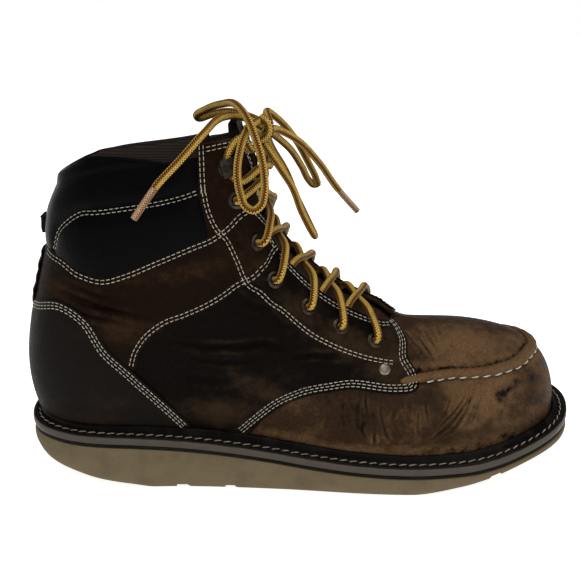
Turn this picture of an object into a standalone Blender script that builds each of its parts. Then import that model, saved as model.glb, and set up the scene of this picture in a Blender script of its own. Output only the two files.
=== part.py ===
"""Right-foot work boot with a wedge sole, moc toe and padded collar.

Metres, +Z up, toe at +X, medial side at +Y, floor at Z = 0.
The form is one smooth surface told by stations round the foot. A station names a
point of the sole's outline and the point of the top line that stands over it.
Every panel, eyelet and lace is placed on that surface by its station and its
share of the way from the welt (0) to the top line (1).
"""
import math
from collections import namedtuple

import bmesh
import bpy
import numpy as np
from mathutils import Vector
from mathutils.geometry import delaunay_2d_cdt

MM = 0.001

# Overall sizes
LENGTH = 314 * MM
BALL_WIDTH = 107 * MM
SHAFT_HEIGHT = 196 * MM
HEEL_STACK = 36.5 * MM

# Sole sizes
WELT_SHOW = 9 * MM
WELT_THICK = 5.5 * MM
WELT_INSIDE = 4 * MM
LIP_RISE = 3.6 * MM
LIP_THICK = 2.0 * MM
MIDSOLE_THICK = 1.8 * MM
GROOVE_DEPTH = 2.2 * MM
INSOLE_RISE = 2.0 * MM

# Leather sizes
WALL = 2.4 * MM
SADDLE_THICK = 1.2 * MM
ANKLE_THICK = 1.7 * MM
COUNTER_THICK = 2.2 * MM
FACING_THICK = 1.7 * MM
COLLAR_PUFF = 4.0 * MM
COLLAR_EDGE = 1.2 * MM
COLLAR_INSIDE = 3.4 * MM
COLLAR_TOP = 3.6 * MM
STRAP_THICK = 1.5 * MM
TONGUE_THICK = 4.0 * MM
TONGUE_SINK = 3.0 * MM
TONGUE_FREE = 12.0 * MM
SEAM_RIDGE = 2.2 * MM

# Hardware and lace sizes
EYELET_RADIUS = 4.7 * MM
EYELET_HOLE = 2.5 * MM
EYELET_RISE = 1.0 * MM
RIVET_RADIUS = 3.0 * MM
HOOK_WIDTH = 10.0 * MM
HOOK_LENGTH = 11.0 * MM
KEEPER_WIDTH = 6.5 * MM
KEEPER_PLATE = 1.2 * MM
KEEPER_SPAN = 10.0 * MM
KEEPER_RISE = 3.0 * MM
TIP_LENGTH = 18.0 * MM
HOOK_PLATE = 1.1 * MM
LACE_WIDTH = 4.0 * MM

# Fits
GAP = 0.3 * MM
SEAT = 0.45 * MM
COLLAR_FIT = 0.5 * MM
TONGUE_FIT = 1.0 * MM

# Mesh fineness
CELLS_PER_STATION = 3
RIDGE_HALF = 0.02

Station = namedtuple("Station", (
    "name along lateral medial top_along top_lateral top_medial rim_lateral rim_medial "
    "lean_low reach_low lean_top reach_top"))

# along: share of LENGTH; lateral, medial: share of BALL_WIDTH; rims and reaches: share
# of SHAFT_HEIGHT; leans in degrees, outward at the welt, outward going up at the top
STATIONS = [
    Station("heel back", 0.000, 0.000, 0.000, 0.096, 0.000, 0.000, 0.883, 0.883, 20, 0.235, -10, 0.286),
    Station("heel corner", 0.029, 0.243, 0.243, 0.118, 0.187, 0.178, 0.903, 0.893, 20, 0.230, -9, 0.286),
    Station("heel side", 0.127, 0.383, 0.364, 0.191, 0.290, 0.262, 0.954, 0.918, 14, 0.214, -8, 0.286),
    Station("ankle", 0.255, 0.393, 0.355, 0.306, 0.299, 0.262, 0.974, 0.939, 9, 0.224, -8, 0.286),
    Station("collar corner", 0.376, 0.411, 0.346, 0.408, 0.252, 0.243, 0.997, 0.969, 6, 0.235, -12, 0.255),
    Station("instep", 0.503, 0.449, 0.383, 0.452, 0.220, 0.215, 0.735, 0.724, 5, 0.214, -24, 0.204),
    Station("ball back", 0.631, 0.495, 0.449, 0.548, 0.206, 0.206, 0.551, 0.546, 4, 0.184, -38, 0.153),
    Station("ball", 0.752, 0.509, 0.491, 0.643, 0.168, 0.168, 0.464, 0.464, 4, 0.168, -60, 0.138),
    Station("throat base", 0.834, 0.477, 0.491, 0.691, 0.000, 0.000, 0.439, 0.439, 3, 0.168, -80, 0.153),
    Station("toe side", 0.911, 0.374, 0.439, 0.768, 0.000, 0.000, 0.423, 0.423, 3, 0.168, -85, 0.184),
    Station("toe corner", 0.975, 0.206, 0.290, 0.822, 0.000, 0.000, 0.413, 0.413, 3, 0.138, -83, 0.173),
    Station("toe tip", 1.000, -0.056, 0.056, 0.854, 0.000, 0.000, 0.403, 0.403, 3, 0.122, -80, 0.143),
]
TIP = len(STATIONS) - 1
LOOP = 2 * TIP
CLOSED_FROM = 8

Profile = namedtuple("Profile", "along tread welt")

# along: share of LENGTH; heights of the tread and of the welt's top: share of HEEL_STACK
PROFILES = [
    Profile(0.000, 0.520, 1.000),
    Profile(0.041, 0.356, 1.000),
    Profile(0.092, 0.247, 0.986),
    Profile(0.137, 0.151, 0.978),
    Profile(0.191, 0.066, 0.959),
    Profile(0.240, 0.000, 0.925),
    Profile(0.350, 0.000, 0.836),
    Profile(0.427, 0.000, 0.753),
    Profile(0.525, 0.000, 0.625),
    Profile(0.605, 0.000, 0.556),
    Profile(0.690, 0.000, 0.529),
    Profile(0.780, 0.137, 0.564),
    Profile(0.834, 0.247, 0.614),
    Profile(0.901, 0.373, 0.707),
    Profile(0.955, 0.438, 0.795),
    Profile(1.000, 0.482, 0.863),
]

# The moc seam and the ridge it raises: station, share of the way up, share of the ridge
SeamPoint = namedtuple("SeamPoint", "station up ridge")
MOC_SEAM = [
    SeamPoint(0.00, 0.500, 0.0),
    SeamPoint(6.33, 0.490, 0.0),
    SeamPoint(7.08, 0.545, 1.0),
    SeamPoint(7.86, 0.510, 1.0),
    SeamPoint(8.60, 0.500, 1.0),
    SeamPoint(9.27, 0.520, 1.0),
    SeamPoint(10.08, 0.605, 1.0),
    SeamPoint(11.00, 0.660, 1.0),
]

# Borders on the outside of the foot: station, share of the way up
COUNTER_EDGE = [(0.0, 0.500), (0.8, 0.530), (1.44, 0.540), (1.84, 0.484), (2.22, 0.353),
                (2.54, 0.268), (2.62, 0.245), (2.79, 0.198), (3.10, 0.109), (3.32, 0.042)]
COUNTER_MEET = 6
COLLAR_EDGE_LINE = [(0.0, 0.760), (0.7, 0.745), (1.33, 0.703), (1.72, 0.646), (2.14, 0.615),
                    (2.43, 0.629), (2.83, 0.663), (3.25, 0.691), (3.62, 0.705)]
FACING_BACK = [(3.40, 1.000), (3.41, 0.910), (3.43, 0.850), (3.62, 0.705)]
FACING_FOOT = [(3.62, 0.705), (4.10, 0.760), (4.89, 1.0)]
SADDLE_TOP = [(2.62, 0.245), (2.58, 0.300), (2.61, 0.348), (2.71, 0.403), (2.98, 0.461),
              (3.28, 0.482), (3.76, 0.518), (4.26, 0.584), (4.75, 0.769), (5.18, 1.0)]
SADDLE_FRONT = [(4.12, 0.042), (4.40, 0.126), (4.71, 0.215), (5.03, 0.291),
                (5.51, 0.382), (5.99, 0.459), (6.64, 0.480), (6.93, 0.500), (7.05, 0.560),
                (7.11, 0.692), (7.42, 0.830), (7.43, 0.928), (7.30, 1.0)]

PANEL_FOOT = 0.042
COLLAR_BACKING = 0.012

EYELETS = [(6.73, 0.813), (6.18, 0.836), (5.67, 0.845), (5.09, 0.820), (4.57, 0.790), (4.02, 0.806)]
HOOK = (3.82, 0.912)
RISER_EDGE = 4.06
KEEPER_STATION = 4.93
TONGUE_STATIONS = (8.55, 8.2, 7.9, 7.6, 7.3, 7.0, 6.6, 6.2, 5.8, 5.4, 5.1, 4.8, 4.5, 4.2)
RIVET = (6.62, 0.604)

# Routes of the free cord: along is a share of LENGTH, side of BALL_WIDTH (medial is
# plus), height of SHAFT_HEIGHT
RoutePoint = namedtuple("RoutePoint", "along side height")
KNOT_ROUTE = [
    RoutePoint(0.446, -0.155, 1.040), RoutePoint(0.460, -0.178, 1.022), RoutePoint(0.459, -0.178, 0.998),
    RoutePoint(0.4465, -0.166, 0.980)]
LOOP_NEAR_ROUTE = [
    RoutePoint(0.441, -0.178, 1.031), RoutePoint(0.428, -0.285, 1.022), RoutePoint(0.416, -0.390, 0.979),
    RoutePoint(0.412, -0.435, 0.929), RoutePoint(0.418, -0.458, 0.871), RoutePoint(0.434, -0.467, 0.834),
    RoutePoint(0.450, -0.458, 0.870), RoutePoint(0.451, -0.430, 0.932), RoutePoint(0.440, -0.374, 1.007),
    RoutePoint(0.424, -0.280, 1.056), RoutePoint(0.406, -0.187, 1.077), RoutePoint(0.382, -0.075, 1.069),
    RoutePoint(0.354, 0.019, 1.050), RoutePoint(0.334, 0.060, 1.030), RoutePoint(0.336, 0.098, 1.018),
    RoutePoint(0.361, 0.085, 1.030), RoutePoint(0.392, 0.030, 1.040), RoutePoint(0.418, -0.015, 1.034)]
LOOP_FAR_ROUTE = [
    RoutePoint(0.460, -0.050, 1.013), RoutePoint(0.454, 0.030, 1.038), RoutePoint(0.474, 0.112, 1.007),
    RoutePoint(0.502, 0.206, 0.941), RoutePoint(0.523, 0.262, 0.871), RoutePoint(0.541, 0.320, 0.797),
    RoutePoint(0.530, 0.330, 0.800), RoutePoint(0.512, 0.224, 0.860), RoutePoint(0.491, 0.130, 0.925),
    RoutePoint(0.466, 0.060, 0.970)]
LOOP_LOW_ROUTE = [
    RoutePoint(0.4485, -0.151, 0.972), RoutePoint(0.475, -0.120, 0.900), RoutePoint(0.496, -0.100, 0.840),
    RoutePoint(0.509, -0.080, 0.775), RoutePoint(0.530, -0.045, 0.700), RoutePoint(0.532, 0.000, 0.690),
    RoutePoint(0.518, 0.010, 0.740), RoutePoint(0.502, 0.000, 0.800), RoutePoint(0.482, -0.020, 0.885),
    RoutePoint(0.462, -0.040, 0.945)]
END_NEAR_ROUTE = [
    RoutePoint(0.4505, -0.146, 1.0105), RoutePoint(0.432, -0.105, 1.026), RoutePoint(0.410, -0.125, 1.040),
    RoutePoint(0.383, -0.224, 1.045), RoutePoint(0.359, -0.355, 1.018), RoutePoint(0.325, -0.440, 0.964),
    RoutePoint(0.289, -0.475, 0.908), RoutePoint(0.248, -0.490, 0.823)]
END_FAR_ROUTE = [
    RoutePoint(0.4615, -0.153, 1.006), RoutePoint(0.471, -0.040, 0.996), RoutePoint(0.505, 0.060, 0.955),
    RoutePoint(0.542, 0.160, 0.880), RoutePoint(0.575, 0.243, 0.794), RoutePoint(0.613, 0.299, 0.715)]
RISER_LATERAL_ROUTE = [
    RoutePoint(0.441, -0.189, 0.970), RoutePoint(0.430, -0.255, 0.966)]
RISER_MEDIAL_ROUTE = [
    RoutePoint(0.448, -0.123, 0.979), RoutePoint(0.446, 0.010, 0.976), RoutePoint(0.436, 0.195, 0.968)]

Groove = namedtuple("Groove", "along width")
GROOVES = [Groove(0.287, 0.0070), Groove(0.373, 0.0060), Groove(0.838, 0.0060)]

Finish = namedtuple("Finish", "name colour roughness metallic")
OLIVE_RUBBER = Finish("olive rubber", (0.105, 0.088, 0.058), 0.80, 0.0)
BLACK_RUBBER = Finish("black rubber", (0.012, 0.011, 0.010), 0.60, 0.0)
WELT_LEATHER = Finish("grey brown welt", (0.060, 0.050, 0.042), 0.65, 0.0)
VAMP_LEATHER = Finish("brown oiled leather", (0.068, 0.036, 0.020), 0.55, 0.0)
DARK_LEATHER = Finish("dark brown leather", (0.020, 0.012, 0.009), 0.50, 0.0)
PANEL_LEATHER = Finish("brown panel leather", (0.048, 0.028, 0.018), 0.55, 0.0)
BLACK_LEATHER = Finish("black collar leather", (0.010, 0.010, 0.010), 0.42, 0.0)
TONGUE_LEATHER = Finish("red brown tongue leather", (0.055, 0.024, 0.015), 0.60, 0.0)
INSOLE_BOARD = Finish("dark insole board", (0.030, 0.026, 0.022), 0.85, 0.0)
TAB_CLOTH = Finish("dark green cloth", (0.012, 0.018, 0.014), 0.85, 0.0)
ANTIQUE_METAL = Finish("antique metal", (0.110, 0.095, 0.080), 0.42, 1.0)
LACE_CORD = Finish("gold and brown lace", (0.270, 0.170, 0.060), 0.80, 0.0)
LACE_TIP = Finish("clear brown lace tip", (0.220, 0.130, 0.070), 0.35, 0.0)


# Curves

def slopes(xs, ys):
    """Slopes of a curve that never overshoots its points."""
    steps = np.diff(ys, axis=0) / np.diff(xs)[:, None]
    inner = np.zeros_like(ys)
    inner[0] = steps[0]
    inner[-1] = steps[-1]
    before = steps[:-1]
    after = steps[1:]
    same = before * after > 0
    total = np.where(same, before + after, 1.0)
    inner[1:-1] = np.where(same, 2 * before * after / total, 0.0)
    return inner


def steady(xs, ys, x):
    """Value at x of the curve through the points (xs, ys) that never overshoots."""
    xs = np.asarray(xs, float)
    ys = np.asarray(ys, float)
    if ys.ndim == 1:
        return steady(xs, ys[:, None], x)[..., 0]
    x = np.clip(np.asarray(x, float), xs[0], xs[-1])
    m = slopes(xs, ys)
    i = np.clip(np.searchsorted(xs, x, side="right") - 1, 0, len(xs) - 2)
    h = np.diff(xs)[i][..., None]
    t = (x - xs[i])[..., None] / h
    return ((2 * t**3 - 3 * t**2 + 1) * ys[i] + (t**3 - 2 * t**2 + t) * h * m[i]
            + (3 * t**2 - 2 * t**3) * ys[i + 1] + (t**3 - t**2) * h * m[i + 1])


def closed_spline(points):
    """Second derivatives of the smooth closed curve through the points."""
    count = len(points)
    matrix = np.zeros((count, count))
    for i in range(count):
        matrix[i, i] = 4
        matrix[i, (i - 1) % count] += 1
        matrix[i, (i + 1) % count] += 1
    bend = np.roll(points, -1, 0) - 2 * points + np.roll(points, 1, 0)
    return np.linalg.solve(matrix, 6 * bend)


def smooth_path(points, step):
    """Evenly spaced points along a smooth open curve through the route points."""
    points = np.asarray(points, float)
    chord = np.concatenate([[0], np.cumsum(np.linalg.norm(np.diff(points, axis=0), axis=1))])
    tangent = np.gradient(points, chord, axis=0)
    fine = []
    for i in range(len(points) - 1):
        h = chord[i + 1] - chord[i]
        for t in np.linspace(0, 1, 16, endpoint=i == len(points) - 2):
            fine.append((2 * t**3 - 3 * t**2 + 1) * points[i] + (t**3 - 2 * t**2 + t) * h * tangent[i]
                        + (3 * t**2 - 2 * t**3) * points[i + 1] + (t**3 - t**2) * h * tangent[i + 1])
    fine = np.array(fine)
    run = np.concatenate([[0], np.cumsum(np.linalg.norm(np.diff(fine, axis=0), axis=1))])
    count = max(2, int(round(run[-1] / step)) + 1)
    even = np.linspace(0, run[-1], count)
    return np.stack([np.interp(even, run, fine[:, k]) for k in range(3)], -1)


# The form of the foot

def loop_tables():
    """Outline points and top-line columns of all stations, once round the foot."""
    outline = []
    columns = []
    for s in STATIONS:
        outline.append((s.along * LENGTH, -s.lateral * BALL_WIDTH))
        columns.append((s.top_along * LENGTH, -s.top_lateral * BALL_WIDTH, s.rim_lateral * SHAFT_HEIGHT,
                        s.lean_low, s.reach_low * SHAFT_HEIGHT, s.lean_top, s.reach_top * SHAFT_HEIGHT))
    for s in STATIONS[-2:0:-1]:
        outline.append((s.along * LENGTH, s.medial * BALL_WIDTH))
        columns.append((s.top_along * LENGTH, s.top_medial * BALL_WIDTH, s.rim_medial * SHAFT_HEIGHT,
                        s.lean_low, s.reach_low * SHAFT_HEIGHT, s.lean_top, s.reach_top * SHAFT_HEIGHT))
    return np.array(outline), np.array(columns)


OUTLINE, COLUMNS = loop_tables()
BENDS = closed_spline(OUTLINE)
WRAP_STATIONS = np.arange(-3, LOOP + 3, dtype=float)
WRAP_COLUMNS = np.vstack([COLUMNS[-3:], COLUMNS, COLUMNS[:3]])


def outline_at(u):
    """Point of the sole's outline at station u."""
    u = np.asarray(u, float) % LOOP
    i = np.floor(u).astype(int) % LOOP
    j = (i + 1) % LOOP
    t = (u - np.floor(u))[..., None]
    s = 1 - t
    return s * OUTLINE[i] + t * OUTLINE[j] + ((s**3 - s) * BENDS[i] + (t**3 - t) * BENDS[j]) / 6


def out_at(u):
    """Level direction square to the outline, pointing away from the foot."""
    u = np.asarray(u, float)
    along = outline_at(u + 0.001) - outline_at(u - 0.001)
    along = along / np.linalg.norm(along, axis=-1, keepdims=True)
    return np.stack([along[..., 1], -along[..., 0], np.zeros_like(along[..., 0])], -1)


def tread_height(x):
    """Height of the tread over the floor at the length x."""
    return HEEL_STACK * steady([p.along * LENGTH for p in PROFILES], [p.tread for p in PROFILES], x)


def welt_height(x):
    """Height of the welt's top at the length x."""
    return HEEL_STACK * steady([p.along * LENGTH for p in PROFILES], [p.welt for p in PROFILES], x)


def foot_at(u, inset=WELT_SHOW):
    """Point on the welt's top, an inset inside the outline."""
    level = outline_at(u) - out_at(u)[..., :2] * inset
    return np.concatenate([level, welt_height(level[..., 0])[..., None]], -1)


def base_surface(u, v):
    """Point of the upper's outside at station u and share v of the way up."""
    u = np.asarray(u, float)
    v = np.asarray(v, float)[..., None]
    column = steady(WRAP_STATIONS, WRAP_COLUMNS, u % LOOP)
    out = out_at(u)
    up = np.array([0.0, 0.0, 1.0])
    lean_low = np.radians(column[..., 3:4])
    lean_top = np.radians(column[..., 5:6])
    foot = foot_at(u)
    low = foot + column[..., 4:5] * (out * np.sin(lean_low) + up * np.cos(lean_low))
    top = column[..., :3]
    high = top - column[..., 6:7] * (out * np.sin(lean_top) + up * np.cos(lean_top))
    w = 1 - v
    return w**3 * foot + 3 * w * w * v * low + 3 * w * v * v * high + v**3 * top


def half_station(u):
    """Station counted from the heel on either side."""
    u = np.asarray(u, float) % LOOP
    return np.minimum(u, LOOP - u)


def seam_at(u):
    """Share of the way up of the moc seam at station u."""
    return steady([p.station for p in MOC_SEAM], [p.up for p in MOC_SEAM], half_station(u))


def ridge_at(u):
    """Height of the seam's ridge at station u."""
    return SEAM_RIDGE * steady([p.station for p in MOC_SEAM], [p.ridge for p in MOC_SEAM], half_station(u))


# The grid every leather piece shares

COLUMN_COUNT = LOOP * CELLS_PER_STATION
LOW_SHARES = (0.0, 0.28, 0.62)
HIGH_SHARES = (0.30, 0.65, 1.0)


def grid_levels(u):
    """Shares of the way up of the grid's levels at station u; one lies on the seam."""
    seam = float(seam_at(u))
    low = seam - RIDGE_HALF
    high = seam + RIDGE_HALF
    return [s * low for s in LOW_SHARES] + [low, seam, high] + [high + s * (1 - high) for s in HIGH_SHARES]


SEAM_LEVEL = len(LOW_SHARES) + 1
LEVEL_COUNT = len(LOW_SHARES) + 3 + len(HIGH_SHARES)


def is_closed(column):
    """True where the two sides of the vamp meet at the grid's column."""
    side = half_station(column / CELLS_PER_STATION)
    return bool(side >= CLOSED_FROM - 1e-9)


def make_grid():
    """Levels, points and outward normals of the grid, columns by levels."""
    levels = np.array([grid_levels(i / CELLS_PER_STATION) for i in range(COLUMN_COUNT)])
    stations = np.arange(COLUMN_COUNT)[:, None] / CELLS_PER_STATION + np.zeros_like(levels)
    points = base_surface(stations, levels)
    normals = np.zeros_like(points)
    for i in range(COLUMN_COUNT):
        k = (i + 1) % COLUMN_COUNT
        for j in range(LEVEL_COUNT - 1):
            for a, b, c in (((i, j), (k, j), (k, j + 1)), ((i, j), (k, j + 1), (i, j + 1))):
                face = np.cross(points[b] - points[a], points[c] - points[a])
                for vertex in (a, b, c):
                    normals[vertex] += face
    for i in range(COLUMN_COUNT):
        m = (COLUMN_COUNT - i) % COLUMN_COUNT
        if is_closed(i) and i <= m:
            joined = normals[i, -1] + normals[m, -1]
            joined[1] *= 0.0 if i == m else 1.0
            normals[i, -1] = joined
            normals[m, -1] = joined
    normals /= np.linalg.norm(normals, axis=-1, keepdims=True)
    return levels, points, normals


LEVELS, GRID, NORMALS = make_grid()
RIDGES = np.zeros((COLUMN_COUNT, LEVEL_COUNT))
for _column in range(COLUMN_COUNT):
    RIDGES[_column, SEAM_LEVEL] = float(ridge_at(_column / CELLS_PER_STATION))
OUTSIDE = GRID + NORMALS * RIDGES[..., None]


def cell_weights(u, v):
    """Grid vertices and weights of the facet that holds a place on the surface."""
    place = u * CELLS_PER_STATION
    i = int(math.floor(place + 1e-9))
    s = place - i
    a = i % COLUMN_COUNT
    b = (i + 1) % COLUMN_COUNT
    line = LEVELS[a] * (1 - s) + LEVELS[b] * s
    j = int(np.clip(np.searchsorted(line, v + 1e-9) - 1, 0, LEVEL_COUNT - 2))
    corners = {
        "a0": (0.0, LEVELS[a, j]), "b0": (1.0, LEVELS[b, j]),
        "a1": (0.0, LEVELS[a, j + 1]), "b1": (1.0, LEVELS[b, j + 1])}
    where = {"a0": (a, j), "b0": (b, j), "a1": (a, j + 1), "b1": (b, j + 1)}
    best = None
    for names in (("a0", "b0", "b1"), ("a0", "b1", "a1")):
        (x0, y0), (x1, y1), (x2, y2) = (corners[n] for n in names)
        area = (x1 - x0) * (y2 - y0) - (x2 - x0) * (y1 - y0)
        w1 = ((s - x0) * (y2 - y0) - (x2 - x0) * (v - y0)) / area
        w2 = ((x1 - x0) * (v - y0) - (s - x0) * (y1 - y0)) / area
        weights = (1 - w1 - w2, w1, w2)
        if best is None or min(weights) > min(best[1]):
            best = ([where[n] for n in names], weights)
    return best


def on_facets(u, v, offset=0.0):
    """Point over the upper's facets at a place, and the direction away from the leather."""
    vertices, weights = cell_weights(u, v)
    point = sum(w * OUTSIDE[k] for k, w in zip(vertices, weights))
    normal = sum(w * NORMALS[k] for k, w in zip(vertices, weights))
    return point + normal * offset, normal / np.linalg.norm(normal)


# Finished objects

def boot_centre():
    """Middle of the sole's outline, the origin of the whole boot."""
    ring = outline_at(np.arange(COLUMN_COUNT) / CELLS_PER_STATION)
    low = ring.min(axis=0)
    high = ring.max(axis=0)
    return np.array([(low[0] + high[0]) / 2, (low[1] + high[1]) / 2, 0.0])


CENTRE = boot_centre()


def material(finish):
    """The finish as a material, made once."""
    made = bpy.data.materials.get(finish.name)
    if made:
        return made
    made = bpy.data.materials.new(finish.name)
    made.use_nodes = True
    shader = made.node_tree.nodes["Principled BSDF"]
    shader.inputs["Base Color"].default_value = (*finish.colour, 1.0)
    shader.inputs["Roughness"].default_value = finish.roughness
    shader.inputs["Metallic"].default_value = finish.metallic
    made.diffuse_color = (*finish.colour, 1.0)
    return made


def add_solid(name, points, faces, finish, origin=None):
    """A named object from points in the foot's frame; its origin is under its middle."""
    points = np.asarray(points, float) - CENTRE
    if origin is None:
        low = points.min(axis=0)
        high = points.max(axis=0)
        origin = np.array([(low[0] + high[0]) / 2, (low[1] + high[1]) / 2, low[2]])
    else:
        origin = np.asarray(origin, float) - CENTRE
    mesh = bpy.data.meshes.new(name)
    mesh.from_pydata([tuple(p) for p in points - origin], [], [tuple(f) for f in faces])
    work = bmesh.new()
    work.from_mesh(mesh)
    bmesh.ops.remove_doubles(work, verts=work.verts, dist=0.00002)
    bmesh.ops.dissolve_degenerate(work, edges=work.edges, dist=0.00001)
    bmesh.ops.triangulate(work, faces=work.faces)
    bmesh.ops.recalc_face_normals(work, faces=work.faces)
    work.to_mesh(mesh)
    work.free()
    mesh.materials.append(material(finish))
    made = bpy.data.objects.new(name, mesh)
    made.location = origin
    bpy.context.scene.collection.objects.link(made)
    return made


def cut(target, cutters, operation="DIFFERENCE"):
    """Cut the target with each cutter in turn and drop the cutters."""
    for cutter in cutters:
        step = target.modifiers.new("cut", "BOOLEAN")
        step.operation = operation
        step.solver = "EXACT"
        step.object = cutter
        with bpy.context.temp_override(object=target, active_object=target, selected_objects=[target]):
            bpy.ops.object.modifier_apply(modifier=step.name)
        spent = cutter.data
        bpy.data.objects.remove(cutter)
        bpy.data.meshes.remove(spent)
    return target


def ring_faces(columns, rows, closed_rows=False):
    """Quads of a closed ring of columns, each with the same rows of points."""
    faces = []
    last = rows if closed_rows else rows - 1
    for i in range(columns):
        k = (i + 1) % columns
        for j in range(last):
            n = (j + 1) % rows
            faces.append((i * rows + j, k * rows + j, k * rows + n, i * rows + n))
    return faces


def strip_faces(columns, rows):
    """Quads and end caps of an open run of columns, each a closed loop of rows."""
    faces = []
    for i in range(columns - 1):
        for j in range(rows):
            n = (j + 1) % rows
            faces.append((i * rows + j, (i + 1) * rows + j, (i + 1) * rows + n, i * rows + n))
    faces.append(tuple(range(rows)))
    faces.append(tuple((columns - 1) * rows + j for j in range(rows - 1, -1, -1)))
    return faces


def cap_faces(ring, rows, row):
    """Strips that close a ring across the foot, from one side to the other."""
    half = ring // 2
    faces = []
    for i in range(half):
        a = i
        b = i + 1
        c = ring - i - 1
        d = (ring - i) % ring
        corners = [k * rows + row for k in (a, b, c, d)]
        kept = list(dict.fromkeys(corners))
        if len(kept) > 2:
            faces.append(tuple(kept))
    return faces


# Sole

def column_stations():
    """Stations of the grid's columns, once round the foot."""
    return np.arange(COLUMN_COUNT) / CELLS_PER_STATION


def lofted_slab(name, rows, finish):
    """A slab round the whole foot from rows of (inset, height function)."""
    u = column_stations()
    rings = []
    for inset, height in rows:
        level = outline_at(u) - out_at(u)[:, :2] * inset
        rings.append(np.concatenate([level, height(level[:, 0])[:, None]], -1))
    points = np.stack(rings, 1).reshape(-1, 3)
    count = len(rows)
    faces = ring_faces(COLUMN_COUNT, count)
    faces += cap_faces(COLUMN_COUNT, count, 0)
    faces += cap_faces(COLUMN_COUNT, count, count - 1)
    return add_solid(name, points, faces, finish)


def wedge_top(x):
    """Height of the wedge's top."""
    return welt_height(x) - WELT_THICK - MIDSOLE_THICK - 2 * GAP


def wedge_share(share):
    """Height function at a share of the wedge's own thickness."""
    return lambda x: tread_height(x) + share * (wedge_top(x) - tread_height(x))


def build_outsole():
    """The wedge with its rounded lower edge and the cross grooves."""
    rows = [(0.8 * MM, wedge_share(1.0)), (0.0, wedge_share(0.62)), (0.8 * MM, wedge_share(0.30)),
            (2.6 * MM, wedge_share(0.08)), (5.5 * MM, wedge_share(0.0))]
    wedge = lofted_slab("outsole", rows, OLIVE_RUBBER)
    cutters = []
    for groove in GROOVES:
        x = groove.along * LENGTH
        floor = float(tread_height(x))
        half = groove.width / 2
        low = floor - 12 * MM
        high = floor + GROOVE_DEPTH
        side = BALL_WIDTH
        section = [(x - half - 0.8 * MM, low), (x + half + 0.8 * MM, low), (x + half + 0.8 * MM, floor),
                   (x + half - 0.8 * MM, high), (x - half + 0.8 * MM, high), (x - half - 0.8 * MM, floor)]
        points = [(px, y, pz) for y in (-side, side) for px, pz in section]
        cutters.append(add_solid("groove", points, strip_faces(2, 6), OLIVE_RUBBER))
    return cut(wedge, cutters)


def build_midsole():
    """The thin dark layer over the wedge."""
    def low(x):
        return welt_height(x) - WELT_THICK - MIDSOLE_THICK - GAP

    def high(x):
        return welt_height(x) - WELT_THICK - GAP

    return lofted_slab("midsole", [(1.2 * MM, low), (1.2 * MM, high)], BLACK_RUBBER)


def build_welt():
    """The welt: a ring round the foot with a lip standing against the upper."""
    u = column_stations()
    out = out_at(u)
    foot = foot_at(u)
    up = np.array([0.0, 0.0, 1.0])
    ring_low = -WALL - WELT_INSIDE
    wall_share = LIP_RISE / (0.6 * SHAFT_HEIGHT)
    lip = np.array([on_facets(s, wall_share, GAP + 0.05 * MM)[0] for s in u])
    lip_out = lip + out * LIP_THICK
    rows = []

    def at(inset, rise):
        level = outline_at(u) - out[:, :2] * inset
        return np.concatenate([level, (welt_height(level[:, 0]) + rise)[:, None]], -1)

    rows.append(at(0.5 * MM, -WELT_THICK))
    rows.append(at(0.0, -0.5 * WELT_THICK))
    rows.append(at(0.7 * MM, 0.0))
    rows.append(at(WELT_SHOW - GAP - LIP_THICK - 1.4 * MM, 0.0))
    rows.append(lip_out - up * 0.6 * MM)
    rows.append(lip)
    rows.append(foot + out * (GAP + 0.15 * MM) - up * GAP)
    rows.append(foot + out * ring_low - up * GAP)
    rows.append(at(WELT_SHOW - ring_low, -WELT_THICK))
    rows[7][:, 2] = welt_height(rows[7][:, 0]) - GAP
    points = np.stack(rows, 1).reshape(-1, 3)
    return add_solid("welt", points, ring_faces(COLUMN_COUNT, len(rows), True), WELT_LEATHER)


def build_insole():
    """The board inside the foot; it sits in the welt's ring on the midsole."""
    inset = WELT_SHOW + WALL + WELT_INSIDE + GAP + 0.1 * MM

    def low(x):
        return welt_height(x) - WELT_THICK

    def high(x):
        return welt_height(x) + INSOLE_RISE

    return lofted_slab("insole", [(inset, low), (inset, high)], INSOLE_BOARD)


# Upper

def inner_grid():
    """The inside of the upper's wall; its foot stays level with the outside's."""
    inside = GRID - NORMALS * WALL
    u = column_stations()
    inside[:, 0, :] = GRID[:, 0, :] - out_at(u) * WALL
    inside[:, 0, 2] = GRID[:, 0, 2]
    return inside


def build_upper():
    """The hollow shell: outside, inside, and the edges at throat, collar and foot."""
    inside = inner_grid()
    points = np.concatenate([OUTSIDE.reshape(-1, 3), inside.reshape(-1, 3)])
    inner = COLUMN_COUNT * LEVEL_COUNT
    faces = []
    for i in range(COLUMN_COUNT):
        k = (i + 1) % COLUMN_COUNT
        for j in range(LEVEL_COUNT - 1):
            a = i * LEVEL_COUNT + j
            b = k * LEVEL_COUNT + j
            faces.append((a, b, b + 1))
            faces.append((a, b + 1, a + 1))
            faces.append((inner + a, inner + b + 1, inner + b))
            faces.append((inner + a, inner + a + 1, inner + b + 1))
        foot = (i * LEVEL_COUNT, k * LEVEL_COUNT)
        faces.append((foot[0], inner + foot[0], inner + foot[1], foot[1]))
        if not (is_closed(i) and is_closed(i + 1)):
            top = (foot[0] + LEVEL_COUNT - 1, foot[1] + LEVEL_COUNT - 1)
            faces.append((top[0], top[1], inner + top[1], inner + top[0]))
    return add_solid("upper", points, faces, VAMP_LEATHER)


def tongue_sections():
    """Rows of points across the tongue, from under the vamp to its free top."""
    depth = WALL + TONGUE_FIT
    rows = []
    for u in TONGUE_STATIONS:
        rows.append(tongue_row(u, depth))
    rows = np.array(rows)
    top = rows[-1] + np.array([-0.12, 0.0, 1.0]) * TONGUE_FREE
    top[:, 1] *= 0.85
    return np.concatenate([rows, top[None]])


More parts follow.
